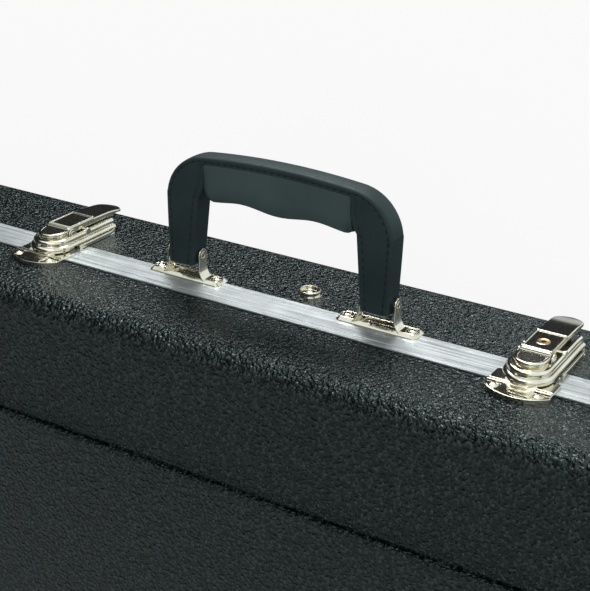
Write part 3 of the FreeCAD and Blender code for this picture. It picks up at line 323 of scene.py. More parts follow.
def plush(name, dark, light, nap_mm):
    """Short-pile plush: soft clumps of nap and a sheen at the edges."""
    material, tree, shader = new_material(name)
    coords = object_coords(tree, per_cell(nap_mm))
    pile = noise_node(tree, coords.outputs["Vector"], 1.0, 5.0, 0.7)
    clumps = noise_node(tree, coords.outputs["Vector"], 0.06, 3.0)
    total = node(tree, "ShaderNodeMath", operation="ADD")
    link(tree, pile.outputs["Fac"], total.inputs[0])
    link(tree, clumps.outputs["Fac"], total.inputs[1])
    tone = map_range(tree, total.outputs["Value"], 0.7, 1.3, 0.0, 1.0)
    link(tree, mix_colour(tree, tone, dark, light), shader.inputs["Base Color"])
    bump(tree, shader, pile.outputs["Fac"], 0.9, 0.8)
    shader.inputs["Roughness"].default_value = 0.95
    shader.inputs["Specular IOR Level"].default_value = 0.15
    shader.inputs["Sheen Weight"].default_value = 0.35
    shader.inputs["Sheen Roughness"].default_value = 0.4
    return material


def woven_ribbon():
    material, tree, shader = new_material("woven_ribbon")
    coords = object_coords(tree, per_cell(0.9))
    weave = node(tree, "ShaderNodeTexWave", wave_type="BANDS", bands_direction="DIAGONAL")
    weave.inputs["Scale"].default_value = 1.0
    weave.inputs["Distortion"].default_value = 0.6
    link(tree, coords.outputs["Vector"], weave.inputs["Vector"])
    link(tree, mix_colour(tree, weave.outputs["Fac"], (0.01, 0.01, 0.011), (0.035, 0.035, 0.038)),
         shader.inputs["Base Color"])
    bump(tree, shader, weave.outputs["Fac"], 0.6, 0.2)
    shader.inputs["Roughness"].default_value = 0.8
    return material


MATERIALS = {
    "moulded_shell": moulded_plastic(),
    "valance": drawn_aluminium(),
    "nickel": plated_metal("nickel_plate", (0.86, 0.83, 0.72), (0.72, 0.67, 0.53), 0.1, 0.22),
    "steel": plated_metal("bare_steel", (0.55, 0.55, 0.54), (0.4, 0.39, 0.38), 0.25, 0.45),
    "lock_brass": plated_metal("lock_brass", (0.62, 0.42, 0.26), (0.42, 0.26, 0.14), 0.3, 0.5),
    "handle_cover": leather_cover("handle_leather", (0.017, 0.035, 0.037), (0.026, 0.048, 0.050)),
    "thread": thread(),
    "plush": plush("plush_lining", (0.006, 0.006, 0.007), (0.042, 0.042, 0.047), 1.6),
    "plush_pad": plush("plush_padding", (0.007, 0.007, 0.008), (0.046, 0.046, 0.051), 1.6),
    "box_plush": plush("plush_on_board", (0.006, 0.006, 0.007), (0.028, 0.028, 0.032), 1.1),
    "ribbon": woven_ribbon(),
}


# Painted light: a copy of the handle leather painted lighter than the arch's, standing in for the light that falls on
# the grip.
GRIP_LEATHER_PAINTED_LIT = leather_cover("grip_leather_painted_lit", (0.052, 0.084, 0.086), (0.068, 0.104, 0.106))


def dress_nodes():
    """Gives every CAD node the material of its own slot."""
    for part in frame["record"]["subparts"]:
        slots = NODES[part["node"]].data.materials
        slots.clear()
        slots.append(MATERIALS[part["material_slot"]])


# Mesh helpers

SMOOTH_ANGLE = math.radians(38)


def add_piece(name, verts, faces, slot, body, replaced=(), material=None, smooth=SMOOTH_ANGLE):
    """A finished mesh that rides on a body."""
    mesh = bpy.data.meshes.new(name)
    mesh.from_pydata([tuple(v) for v in verts], [], faces)
    mesh.validate()
    work = bmesh.new()
    work.from_mesh(mesh)
    bmesh.ops.remove_doubles(work, verts=work.verts, dist=1e-7)
    bmesh.ops.recalc_face_normals(work, faces=work.faces)
    work.to_mesh(mesh)
    work.free()
    mesh.shade_smooth()
    mesh.set_sharp_from_angle(angle=smooth)
    mesh.materials.append(material or MATERIALS[slot])
    piece = bpy.data.objects.new(name, mesh)
    bpy.context.scene.collection.objects.link(piece)
    level = piece.modifiers.new("level_flats", "WEIGHTED_NORMAL")
    level.keep_sharp = True
    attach(piece, body)
    if replaced:
        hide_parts(*replaced)
    return piece


class Build:
    """Collects rings of points in a fitting frame and turns them into one mesh."""

    def __init__(self, fitting):
        self.fitting = fitting
        self.verts = []
        self.faces = []

    def put(self, points):
        start = len(self.verts)
        self.verts.extend(self.fitting.point(*p) for p in points)
        return list(range(start, start + len(points)))

    def skin(self, rings, closed=True, looped=False, caps=True):
        """Skins rings of equal length. A looped skin joins its last ring to its first."""
        rows = [self.put(ring) for ring in rings]
        count = len(rows[0])
        spans = count if closed else count - 1
        pairs = list(zip(rows, rows[1:]))
        if looped:
            pairs.append((rows[-1], rows[0]))
        for low, high in pairs:
            for i in range(spans):
                j = (i + 1) % count
                self.faces.append((low[i], low[j], high[j], high[i]))
        if caps and not looped:
            self.faces.append(tuple(rows[0]))
            self.faces.append(tuple(rows[-1]))

    def finish(self, name, slot, body, replaced=(), **more):
        return add_piece(name, self.verts, self.faces, slot, body, replaced, **more)


def arc(centre, radius, start, end, count):
    """Points on an arc, angles in degrees."""
    result = []
    for i in range(count + 1):
        angle = math.radians(start + (end - start) * i / count)
        result.append((centre[0] + radius * math.cos(angle), centre[1] + radius * math.sin(angle)))
    return result


def inset(outline, amount):
    """Moves a closed anticlockwise outline inwards, mitred at its corners."""
    count = len(outline)
    moved = []
    for i in range(count):
        before = Vector(outline[i]) - Vector(outline[i - 1])
        after = Vector(outline[(i + 1) % count]) - Vector(outline[i])
        n0 = Vector((-before.y, before.x)).normalized()
        n1 = Vector((-after.y, after.x)).normalized()
        both = n0 + n1
        scale = amount / max(1 + n0.dot(n1), 0.3)
        moved.append((outline[i][0] + both.x * scale, outline[i][1] + both.y * scale))
    return moved


def rounded_plate(build, outline, low, high, radius, steps=4, under=0.0):
    """A plate from an (x, a) outline with its upper edge rounded, and its lower edge by under."""
    rings = []
    if under:
        for i in range(steps):
            turn = math.pi / 2 * i / steps
            ring = inset(outline, under * (1 - math.sin(turn)))
            rings.append([(x, a, low + under * (1 - math.cos(turn))) for x, a in ring])
    rings.append([(x, a, low + under) for x, a in outline])
    rings.append([(x, a, high - radius) for x, a in outline])
    for i in range(1, steps + 1):
        turn = math.pi / 2 * i / steps
        ring = inset(outline, radius * (1 - math.cos(turn)))
        rings.append([(x, a, high - radius + radius * math.sin(turn)) for x, a in ring])
    build.skin(rings)


def soft_rectangle(low, high, radius, steps=3):
    """A rounded rectangle in any plane, from its (min, min) and (max, max) corners."""
    (x0, y0), (x1, y1) = low, high
    radius = min(radius, (x1 - x0) / 2.001, (y1 - y0) / 2.001)
    corners = [((x1 - radius, y0 + radius), -90), ((x1 - radius, y1 - radius), 0),
               ((x0 + radius, y1 - radius), 90), ((x0 + radius, y0 + radius), 180)]
    points = []
    for centre, start in corners:
        points.extend(arc(centre, radius, start, start + 90, steps))
    return points


def path_normals(path, closed):
    """Left-hand normals of a path of (x, a) points, mitred."""
    count = len(path)
    normals = []
    for i in range(count):
        here = Vector(path[i])
        before = Vector(path[i - 1]) if i or closed else None
        after = Vector(path[(i + 1) % count]) if i < count - 1 or closed else None
        sides = []
        if before is not None and (here - before).length > 1e-9:
            step = (here - before).normalized()
            sides.append(Vector((-step.y, step.x)))
        if after is not None and (after - here).length > 1e-9:
            step = (after - here).normalized()
            sides.append(Vector((-step.y, step.x)))
        if len(sides) == 2:
            both = sides[0] + sides[1]
            normals.append(both / (1 + sides[0].dot(sides[1])))
        else:
            normals.append(sides[0])
    return normals


def sweep(build, path, profile, closed=False):
    """Sweeps a closed profile of (outwards, b) points along a path of (x, a) points."""
    normals = path_normals(path, closed)
    rings = []
    for (x, a), normal in zip(path, normals):
        rings.append([(x + normal.x * n, a + normal.y * n, b) for n, b in profile])
    build.skin(rings, looped=closed)


def nose_path(radius, centre_a, back, count=24):
    """From the back on +x round a nose towards the lid to the back on -x."""
    nose = arc((0, centre_a), radius, 0, 180, count)
    if abs(back - centre_a) < 1e-6:
        return nose
    return [(radius, back)] + nose + [(-radius, back)]


def turned(build, profile, x, a, count=36):
    """A turned piece about the outward direction from a profile of (radius, b) points."""
    rings = []
    for radius, b in profile:
        ring = []
        for i in range(count):
            angle = 2 * math.pi * i / count
            ring.append((x + radius * math.cos(angle), a + radius * math.sin(angle), b))
        rings.append(ring)
    build.skin(rings)


def bar(build, profile, x0, x1, radius=0.3, steps=3):
    """A bar along x from a closed (a, b) profile, drawn in a little at both ends."""
    middle_a = sum(p[0] for p in profile) / len(profile)
    middle_b = sum(p[1] for p in profile) / len(profile)
    size = max(max(abs(p[0] - middle_a), abs(p[1] - middle_b)) for p in profile)
    rings = []
    for i in range(steps + 1):
        turn = math.pi / 2 * i / steps
        shrink = 1 - radius * (1 - math.sin(turn)) / size
        x = x0 + radius * (1 - math.cos(turn))
        rings.append([(x, middle_a + (a - middle_a) * shrink, middle_b + (b - middle_b) * shrink)
                      for a, b in profile])
    for ring in list(reversed(rings)):
        rings.append([(x0 + x1 - x, a, b) for x, a, b in ring])
    build.skin(rings)


def round_profile(a, b, radius, count=16):
    return arc((a, b), radius, 0, 360 - 360 / count, count - 1)


# Rivets

RIVET_HEAD_R = 2.9
RIVET_HEAD_H = 1.3


def rivet_dome(build, x, a, seat, radius=RIVET_HEAD_R, height=RIVET_HEAD_H):
    rings = [(radius, seat - 0.2)]
    for i in range(7):
        turn = math.pi / 2 * i / 7
        rings.append((radius * math.cos(turn), seat + height * math.sin(turn)))
    rings.append((0.02, seat + height))
    turned(build, rings, x, a)


# Draw latches

PLATE_T = 1.6
CATCH_HALF = 18.5
CATCH_NEAR = 3.0
CATCH_CORNER = 22.5
CATCH_FAR = 31.0
CATCH_RIVET = (12.6, 23.4)
CATCH_STEPS = (16.6, 19.0)
RAMP_HIGH = 6.2
RAMP_LOW = 2.0
BAIL_CENTRE = 4.0
CAP_FLOOR = 13.75
CAP_SLOPE = 0.075
BAIL_ARM_END = -44.0
BAIL_PIVOT = (-17.5, 9.5)
LEVER_HALF = 9.0
LEVER_NEAR = -1.5
LEVER_RIDGE = -27.0
LEVER_TOP = 15.0
LEVER_WALL_T = 1.3
# The lever's sloping front bar: places from the lever's near end and from its top
LEVER_FRONT = ((-2.6, -1.4), (0.6, -2.2), (0.6, -1.35), (-1.7, 0.58), (-1.95, 0.7), (-2.2, 0.7), (-2.45, 0.55))
TAB_CENTRE = -53.0
TAB_BEND = -44.0
TAB_FALL = 1.0
TAB_TURN = 2.6
LOCK_A = -14.2
LOCK_R = 3.6
WALL_B = -1.2


def catch_outline():
    """The D-shaped catch plate, from +x at the valance round the far side."""
    half_chord = CATCH_HALF
    rise = CATCH_FAR - CATCH_CORNER
    radius = (half_chord ** 2 + rise ** 2) / (2 * rise)
    centre = CATCH_FAR - radius
    spread = math.degrees(math.asin(half_chord / radius))
    return ([(CATCH_HALF, CATCH_NEAR)]
            + arc((0, centre), radius, 90 - spread, 90 + spread, 24)
            + [(-CATCH_HALF, CATCH_NEAR)])


def smooth_corners(outline, radius, steps=4):
    """Rounds an outline's sharp corners, those that turn by more than 25 degrees."""
    result = []
    count = len(outline)
    for i in range(count):
        here = Vector(outline[i])
        before = (Vector(outline[i - 1]) - here)
        after = (Vector(outline[(i + 1) % count]) - here)
        turn = math.pi - before.angle(after)
        reach = radius * math.tan(turn / 2)
        if math.degrees(turn) < 25:
            result.append(tuple(here))
            continue
        reach = min(reach, before.length * 0.45, after.length * 0.45)
        start = here + before.normalized() * reach
        end = here + after.normalized() * reach
        for k in range(steps + 1):
            t = k / steps
            point = (1 - t) ** 2 * start + 2 * t * (1 - t) * here + t ** 2 * end
            result.append(tuple(point))
    return result


def catch_piece(name, fitting):
    build = Build(fitting)
    outline = smooth_corners(catch_outline(), 2.2)
    rounded_plate(build, outline, WALL_B + 0.02, PLATE_T, 0.5)
    rim = arc_part(catch_outline())
    sweep(build, rim, soft_rectangle((-1.2, PLATE_T - 0.2), (-0.15, PLATE_T + 0.45), 0.4))
    for middle in CATCH_STEPS:
        ridge = soft_rectangle((middle - 0.55, 0.4), (middle + 0.55, 2.5), 0.5, 4)
        bar(build, ridge, -CATCH_HALF + 0.3, CATCH_HALF - 0.3, 0.4)
    post = nose_path(10.3, BAIL_CENTRE, 7.0)
    rounded_plate(build, post, 0.5, 7.4, 0.8)
    ramp_rings = []
    for i in range(15):
        t = i / 14
        a = 13.5 + 14.5 * t
        b = RAMP_LOW + (RAMP_HIGH - RAMP_LOW) * (1 - t) ** 6
        half = 9.3 - 0.8 * t
        ramp_rings.append([(-half, a, 0.4), (-half, a, b - 0.2), (-half + 0.2, a, b), (half - 0.2, a, b),
                           (half, a, b - 0.2), (half, a, 0.4)])
    build.skin(ramp_rings)
    for x in (-CATCH_RIVET[0], CATCH_RIVET[0]):
        rivet_dome(build, x, CATCH_RIVET[1], PLATE_T, 3.0, 0.9)
    build.finish("catch_" + name, "nickel", "lid", ["catch_plate_" + name])


def arc_part(outline):
    """The curved run of the catch plate's outline, for its rolled rim."""
    return outline[1:-1]


def plate_piece(name, fitting):
    """The riveted plate under the lever with its side lips and ears."""
    build = Build(fitting)
    half, near, shoulder, far, tip = 16.5, -3.0, -40.0, -50.0, 8.0
    outline = [(-half, near), (-half, shoulder), (-tip, far), (tip, far), (half, shoulder), (half, near)]
    rounded_plate(build, smooth_corners(outline, 3.0), 0.0, PLATE_T, 0.5)
    foot = [(-half, -13.2), (-half, shoulder), (-tip, far), (tip, far), (half, shoulder), (half, -13.2)]
    rounded_plate(build, smooth_corners(foot, 3.0), WALL_B + 0.02, 0.1, 0.05)
    for side in (-1, 1):
        lip = soft_rectangle((-0.75, -0.2), (0.75, 3.6), 0.6, 4)
        path = [(side * (half - 0.75), near - 0.3), (side * (half - 0.75), shoulder),
                (side * (tip + 1.2), far + 1.0), (side * (tip - 1.5), far + 0.9)]
        sweep(build, rounded_path(path, 5.0), lip)
        ear_outline = [(-8.1, 0.2), (-0.9, 0.2)]
        ear_outline += arc((-4.5, 10.3), 3.6, 0, 180, 12)
        sheet_x(build, ear_outline, side * 9.35, side * 10.25)
        bar(build, round_profile(-4.5, 10.3, 2.1), *sorted((side * 10.0, side * 10.55)), 0.2)
    build.finish("plate_" + name, "nickel", "base", ["latch_plate_" + name])


def rounded_path(path, radius, steps=6):
    """Rounds the inner corners of an open path."""
    result = [path[0]]
    for before, here, after in zip(path, path[1:], path[2:]):
        here_v = Vector(here)
        back = Vector(before) - here_v
        ahead = Vector(after) - here_v
        reach = min(radius, back.length * 0.45, ahead.length * 0.45)
        start = here_v + back.normalized() * reach
        end = here_v + ahead.normalized() * reach
        for k in range(steps + 1):
            t = k / steps
            result.append(tuple((1 - t) ** 2 * start + 2 * t * (1 - t) * here_v + t ** 2 * end))
    result.append(path[-1])
    return result


def sheet_x(build, outline, x0, x1, radius=0.25):
    """A flat sheet across x from a closed (a, b) outline with softened edges."""
    low, high = min(x0, x1), max(x0, x1)
    drawn = inset(outline, radius)
    rings = [[(low, a, b) for a, b in drawn], [(low + radius, a, b) for a, b in outline],
             [(high - radius, a, b) for a, b in outline], [(high, a, b) for a, b in drawn]]
    build.skin(rings)


def bail_piece(name, fitting):
    """The pressed bail: rimmed cap, two stepped bands round the nose, and its arms."""
    build = Build(fitting)
    cap_r = 9.0
    outline = nose_path(cap_r, BAIL_CENTRE, -1.2, 30)
    build.skin([[(x, a, 8.2) for x, a in outline],
                [(x, a, CAP_FLOOR - CAP_SLOPE * a) for x, a in outline]])
    rim = soft_rectangle((-2.1, 11.2), (0.3, 13.8), 1.1, 6)
    sweep(build, reversed_path(nose_path(cap_r, BAIL_CENTRE, 0.2, 30)), rim)
    flange = domed_band((-4.6, 7.4), (0.3, 9.9), 7.9)
    sweep(build, reversed_path(nose_path(12.2, BAIL_CENTRE, -0.5, 30)), flange)
    sweep(build, flared_arms(12.2), domed_band((-1.5, 7.4), (0.3, 9.9), 7.9))
    wall = soft_rectangle((-1.4, 3.9), (0.0, 9.35), 0.65, 4)
    arm_path = flared_arms(12.2)
    sweep(build, arm_path, wall)
    lower = domed_band((-2.9, 3.6), (0.5, 6.5), 4.3)
    sweep(build, flared_arms(14.0), lower)
    hook = soft_rectangle((-1.5, 2.2), (0.1, 5.0), 0.6, 4)
    sweep(build, reversed_path(nose_path(14.0, BAIL_CENTRE, BAIL_CENTRE, 30)), hook)
    for side in (-1, 1):
        bar(build, round_profile(BAIL_PIVOT[0], BAIL_PIVOT[1] - 1.0, 2.6),
            *sorted((side * 10.9, side * 12.5)), 0.4)
    build.finish("bail_" + name, "nickel", "bail_" + name, ["latch_bail_" + name])


def domed_band(low, high, edge_b, steps=8):
    """A band's section whose top falls away in a curve to its outer edge."""
    (inner, bottom), (outer, top) = low, high
    crown = [(inner + (outer - inner) * math.sin(t), edge_b + (top - edge_b) * math.cos(t))
             for t in np.linspace(0, math.pi / 2, steps)]
    return [(inner, bottom), (outer - 0.4, bottom), (outer, bottom + 0.35)] + list(reversed(crown))


def reversed_path(path):
    return list(reversed(path))


def flared_arms(radius):
    """The bail's band from one arm's end round the nose to the other's."""
    half = [(-radius, BAIL_CENTRE), (-radius, BAIL_ARM_END + 6.0), (-radius - 0.4, BAIL_ARM_END + 0.5)]
    arm = rounded_path(half, 3.0)[1:]
    left = list(reversed(arm))
    nose = list(reversed(arc((0, BAIL_CENTRE), radius, 0, 180, 30)))
    right = [(-x, a) for x, a in arm]
    return left + nose + right


def lever_profile(a):
    """Height of the lever's outside and of its walls' foot at one place along it."""
    low = LEVER_PIVOT[1] - 3.6
    if a > LEVER_RIDGE:
        return LEVER_TOP, low
    t = (LEVER_RIDGE - a) / (LEVER_RIDGE - (TAB_CENTRE - LEVER_HALF))
    turned_down = max(0.0, (TAB_BEND - a) / (TAB_BEND - (TAB_CENTRE - LEVER_HALF)))
    top = LEVER_TOP - 0.6 - TAB_FALL * t - TAB_TURN * turned_down ** 1.6
    wall = low + (top - 1.9 - low) * min(1, t * 1.35)
    return top, wall


def lever_piece(name, fitting):
    """The folded lever with its ridges, sunk panel and round finger tab."""
    build = Build(fitting)
    stations = [LEVER_NEAR, LEVER_NEAR - 0.35, -2.4]
    stations += [-3.2, -8.0, -14.0, -20.0, -25.0, LEVER_RIDGE + 0.01, LEVER_RIDGE - 0.5]
    stations += [-30.0, -34.0, -38.0, -42.0, -46.0, -50.0]
    stations += [TAB_CENTRE - LEVER_HALF * math.sin(math.pi / 2 * i / 12) for i in range(13)]
    rings = []
    for a in stations:
        top, foot = lever_profile(a)
        half = LEVER_HALF
        if a < TAB_CENTRE:
            half = math.sqrt(max(LEVER_HALF ** 2 - (a - TAB_CENTRE) ** 2, 0.16))
        if a > LEVER_NEAR - 0.2:
            top -= 0.3
        rings.append(folded_section(half, top, foot, a))
    build.skin(rings)
    front = [(LEVER_NEAR + a, LEVER_TOP + b) for a, b in LEVER_FRONT]
    rear = soft_rectangle((LEVER_RIDGE - 0.9, LEVER_TOP - 1.2), (LEVER_RIDGE + 0.9, LEVER_TOP + 0.6), 0.7, 4)
    for ridge in (front, rear):
        bar(build, ridge, -LEVER_HALF + 0.15, LEVER_HALF - 0.15, 0.45)
    for side in (-1, 1):
        rail = soft_rectangle((-0.55, LEVER_TOP - 0.6), (0.55, LEVER_TOP + 0.5), 0.5, 3)
        path = [(side * (LEVER_HALF - 0.65), LEVER_NEAR - 1.0), (side * (LEVER_HALF - 0.65), LEVER_RIDGE)]
        sweep(build, path, rail)
    replaced = ["latch_lever_" + name]
    build.finish("lever_" + name, "nickel", "lever_" + name, replaced)


def folded_section(half, top, foot, a):
    """One U-shaped section of the lever, as a closed ring."""
    wall = min(LEVER_WALL_T, half * 0.45)
    corner = min(1.1, half * 0.4)
    foot = min(foot, top - 1.9)
    outer = [(-half, a, foot), (-half, a, top - corner)]
    outer += [(-half + corner - corner * math.cos(t), a, top - corner + corner * math.sin(t))
              for t in (math.pi / 8, math.pi / 4, 3 * math.pi / 8)]
    outer += [(-half + corner, a, top), (half - corner, a, top)]
    outer += [(half - corner + corner * math.sin(t), a, top - corner + corner * math.cos(t))
              for t in (math.pi / 8, math.pi / 4, 3 * math.pi / 8)]
    outer += [(half, a, top - corner), (half, a, foot)]
    inner_top = top - LEVER_WALL_T
    inner = [(half - wall, a, foot), (half - wall, a, inner_top),
             (-half + wall, a, inner_top), (-half + wall, a, foot)]
    return outer + inner


def lock_piece(fitting):
    """The brass plug with a raised rim, a dished face and a round well, and a black bar set in its keyhole slit as
    painted shade.
    """
    build = Build(fitting)
    top = LEVER_TOP + 0.4
    profile = [(LOCK_R, LEVER_TOP - 6.0), (LOCK_R, top - 0.25), (LOCK_R - 0.25, top), (LOCK_R - 0.7, top - 0.05),
               (LOCK_R - 1.0, top - 0.3), (1.45, top - 0.35), (1.3, top - 0.6), (1.25, top - 2.6),
               (0.02, top - 2.6)]
    turned(build, profile, 0, LOCK_A)
    piece = build.finish("lock_plug_face", "lock_brass", "lock_plug", ["lock_plug"])
    # Painted shade: a solid bar in the near-black thread material stands in for the dark depth of the keyhole slit.
    keyhole_shade_build = Build(fitting)
    slit = soft_rectangle((LOCK_A - 1.7, top - 2.0), (LOCK_A + 1.7, top - 0.28), 0.1, 2)
    bar(keyhole_shade_build, slit, -0.5, 0.5, 0.1)
    keyhole_shade_build.finish("keyhole", "lock_brass", "lock_plug", material=MATERIALS["thread"])
    collar = Build(fitting)
    ring = [(LOCK_R + 0.1, LEVER_TOP - 1.0), (LOCK_R + 0.1, LEVER_TOP + 0.08), (LOCK_R + 0.3, LEVER_TOP + 0.1),
            (LOCK_R + 0.5, LEVER_TOP + 0.02), (LOCK_R + 0.5, LEVER_TOP - 1.0)]
    turned(collar, ring + ring[:1], 0, LOCK_A)
    collar.finish("lock_collar", "nickel", "lever_locking")
    return piece


def make_latches():
    for name, fitting in LATCHES.items():
        catch_piece(name, fitting)
        plate_piece(name, fitting)
        bail_piece(name, fitting)
        lever_piece(name, fitting)
    lock_piece(LATCHES["locking"])


# Handle

HANDLE_A = HANDLE_PIVOT[0]
HANDLE_T = 15.2
HANDLE_HALF = 78.4
LEG_TAPER = 1.4
HANDLE_TOP = 86.0
CROWN_R = 490.0
CORNER_R = 30.0
LEG_BOTTOM = 10.8
LEG_TOP = 57.0
LEG_INNER = (58.8, 54.3)
GRIP_HALF = 50.0
GRIP_TOP = 79.5
GRIP_BULGE = 1.0
GRIP_LOW = 55.2
GRIP_WAVE = 1.25
GRIP_FROM_CROWN = 4.3
INNER_RISE = 13.0
SEAM_FROM_EDGE = 3.6
STITCH_PITCH = 4.6
STITCH_LENGTH = 2.1


def arch_half():
    """Inner and outer points (x, b) from one leg's foot to the middle of the crown."""
    centre_x = HANDLE_HALF - CORNER_R
    crown_b = HANDLE_TOP - CROWN_R
    centre_b = crown_b + math.sqrt((CROWN_R - CORNER_R) ** 2 - centre_x ** 2)
    turn = math.degrees(math.atan2(centre_b - crown_b, centre_x))
    pairs = []
    for i in range(9):
        t = i / 8
        b = LEG_BOTTOM + (LEG_TOP - LEG_BOTTOM) * t
        pairs.append(((LEG_INNER[0] + (LEG_INNER[1] - LEG_INNER[0]) * t, b),
                      (HANDLE_HALF - LEG_TAPER * (1 - t) ** 1.5, b)))
    end_x = GRIP_HALF - 0.5
    inner_path = [(end_x + (LEG_INNER[1] - end_x) * (1 - t) ** 2, LEG_TOP + INNER_RISE * t)
                  for t in (i / 8 for i in range(9))]
    inner_path.append((end_x, GRIP_TOP))
    outer = arc((centre_x, centre_b), CORNER_R, 0, turn, 18)
    for i, point in enumerate(outer):
        pairs.append((along_polyline(inner_path, i / 18), point))
    crown_start = outer[-1][0]
    for i in range(1, 13):
        x = crown_start * (1 - i / 12)
        pairs.append(((end_x * x / crown_start, GRIP_TOP), (x, crown_b + math.sqrt(CROWN_R ** 2 - x ** 2))))
    return pairs


def along_polyline(path, t):
    """The point a share t along a polyline."""
    lengths = [math.dist(p, q) for p, q in zip(path, path[1:])]
    left = t * sum(lengths)
    for p, q, length in zip(path, path[1:], lengths):
        if left <= length or q is path[-1]:
            share = left / length
            return (p[0] + (q[0] - p[0]) * share, p[1] + (q[1] - p[1]) * share)
        left -= length


def arch_pairs():
    half = arch_half()
    other = [((-i[0], i[1]), (-o[0], o[1])) for i, o in reversed(half[:-1])]
    return half + other


def arch_section(inner, outer, shrink=0.0):
    """One ring across the arch, with a rolled rim and a sunk seam line beside each edge."""
    start, end = Vector(inner), Vector(outer)
    across = end - start
    width = across.length
    across.normalize()
    trim = min(1.0, (width - 5.0) / 4.4)
    face = HANDLE_T / 2 - shrink
    rim, inside = 2.2, 1.5 * trim
    seam = SEAM_FROM_EDGE
    side = [(shrink, 0.0), (shrink + 0.1, face * 0.35)]
    for i in range(5):
        turn = math.pi / 2 * i / 4
        side.append((shrink + 0.35 + rim * (1 - math.cos(turn)), face - rim + rim * math.sin(turn)))
    side += [(seam - 0.75, face), (seam - 0.4, face - 0.3), (seam, face - 0.42), (seam + 0.4, face - 0.3),
             (seam + 0.75, face)]
    side.append(((seam + 0.75 + width - (seam + 0.75) * trim) / 2, face + 0.3 * trim))
    for offset, drop in ((0.75, 0.0), (0.4, 0.3), (0.0, 0.42), (-0.4, 0.3), (-0.75, 0.0)):
        side.append((width - (seam + offset) * trim, face - drop * trim))
    for i in range(4):
        turn = math.pi / 2 * i / 3
        side.append((width - inside + inside * math.sin(turn) - shrink, face - inside + inside * math.cos(turn)))
    ring = [(d, t) for d, t in side]
    ring += [(width - shrink, 0.0)]
    ring += [(d, -t) for d, t in reversed(side[1:])]
    return [(end.x - across.x * d, HANDLE_A + t, end.y - across.y * d) for d, t in ring]


def arch_piece():
    build = Build(HANDLE)
    pairs = arch_pairs()
    rings = []
    foot = ((0.9, 0.0), (0.4, 0.15), (0.12, 0.4), (0.02, 0.8))
    for shrink, lift in foot:
        (ix, b), (ox, _) = pairs[0]
        rings.append(arch_section((ix, b + lift), (ox, b + lift), shrink))
    pairs[0] = tuple((p[0], p[1] + 1.4) for p in pairs[0])
    pairs[-1] = tuple((p[0], p[1] + 1.4) for p in pairs[-1])
    rings += [arch_section(*pair) for pair in pairs]
    for shrink, lift in reversed(foot):
        (ix, b), (ox, _) = arch_pairs()[-1]
        rings.append(arch_section((ix, b + lift), (ox, b + lift), shrink))
    build.skin(rings)
    build.finish("handle_cover", "handle_cover", "handle", ["handle_arch"], smooth=math.radians(50))


def grip_underside(x):
    return GRIP_LOW - GRIP_WAVE * math.cos(2 * math.pi * x / GRIP_HALF)


def grip_piece():
    """The padded palm grip, drawn in to a crease where it meets each shoulder."""
    build = Build(HANDLE)
    rings = []
    count = 60
    for i in range(count + 1):
        x = GRIP_HALF * (1 - 2 * i / count) * 1.006
        near_end = max(0.0, 1 - (GRIP_HALF * 1.006 - abs(x)) / 4.5)
        pinch = near_end ** 2 * (3 - 2 * near_end)
        half = HANDLE_T / 2 + GRIP_BULGE - 2.0 * pinch
        low = grip_underside(x) + 1.9 * pinch
        flat = HANDLE_T / 2 - 0.1
        bend = low + 11.5
        top = HANDLE_TOP - CROWN_R + math.sqrt(CROWN_R ** 2 - x ** 2) - GRIP_FROM_CROWN
        side = []
        for k in range(7):
            b = top - (top - bend) * k / 6
            t = k / 6
            side.append((flat + (half - flat) * math.sin(t * math.pi / 2), b))
        for k in range(1, 9):
            turn = math.pi / 2 * k / 8
            side.append((half * math.cos(turn) ** 0.85, bend - (bend - low) * math.sin(turn)))
        ring = side + [(-a, b) for a, b in reversed(side[:-1])]
        rings.append([(x, HANDLE_A + a, b) for a, b in ring])
    build.skin(rings)
    # The grip wears the lighter copy of the handle leather; its extra lightness is painted light.
    build.finish("handle_palm_grip", "handle_cover", "handle", ["handle_grip"], material=GRIP_LEATHER_PAINTED_LIT,
                 smooth=math.radians(60))


def stitch(build, place, step, side):
    """One sunk stitch: place and step are in the handle's plane, side is its face."""
    across = Vector((-step.y, step.x))
    face = HANDLE_A + side * (HANDLE_T / 2 - 0.42)
    rings = []
    for share, wide, rise in ((-1, 0.2, 0.05), (-0.75, 0.62, 0.26), (0, 0.75, 0.38), (0.75, 0.62, 0.26),
                              (1, 0.2, 0.05)):
        centre = place + step * (STITCH_LENGTH / 2 * share)
        ring = []
        for k in range(8):
            turn = 2 * math.pi * k / 8
            point = centre + across * (wide * math.cos(turn))
            ring.append((point.x, face + side * rise * math.sin(turn), point.y))
        rings.append(ring)
    build.skin(rings)


def stitch_line(build, path, side):
    """Evenly spaced stitches along a polyline in the handle's plane."""
    lengths = [math.dist(p, q) for p, q in zip(path, path[1:])]
    total = sum(lengths)
    count = int(total / STITCH_PITCH)
    for i in range(count):
        middle = (i + 0.5) / count
        place = Vector(along_polyline(path, middle))
        ahead = Vector(along_polyline(path, min(1, middle + 0.01)))
        behind = Vector(along_polyline(path, max(0, middle - 0.01)))
        stitch(build, place, (ahead - behind).normalized(), side)


def stitching():
    build = Build(HANDLE)
    pairs = arch_pairs()
    outer_line, inner_lines = [], [[], []]
    for inner, outer in pairs:
        start, end = Vector(inner), Vector(outer)
        across = (end - start).normalized()
        outer_line.append(tuple(end - across * SEAM_FROM_EDGE))
        if inner[1] <= LEG_TOP + 6:
            inner_lines[inner[0] < 0].append(tuple(start + across * SEAM_FROM_EDGE))
    for side in (-1, 1):
        stitch_line(build, outer_line, side)
        for line in inner_lines:
            stitch_line(build, line, side)
    build.finish("handle_stitching", "handle_cover", "handle", material=MATERIALS["thread"])


# Handle brackets, their rivets and pins

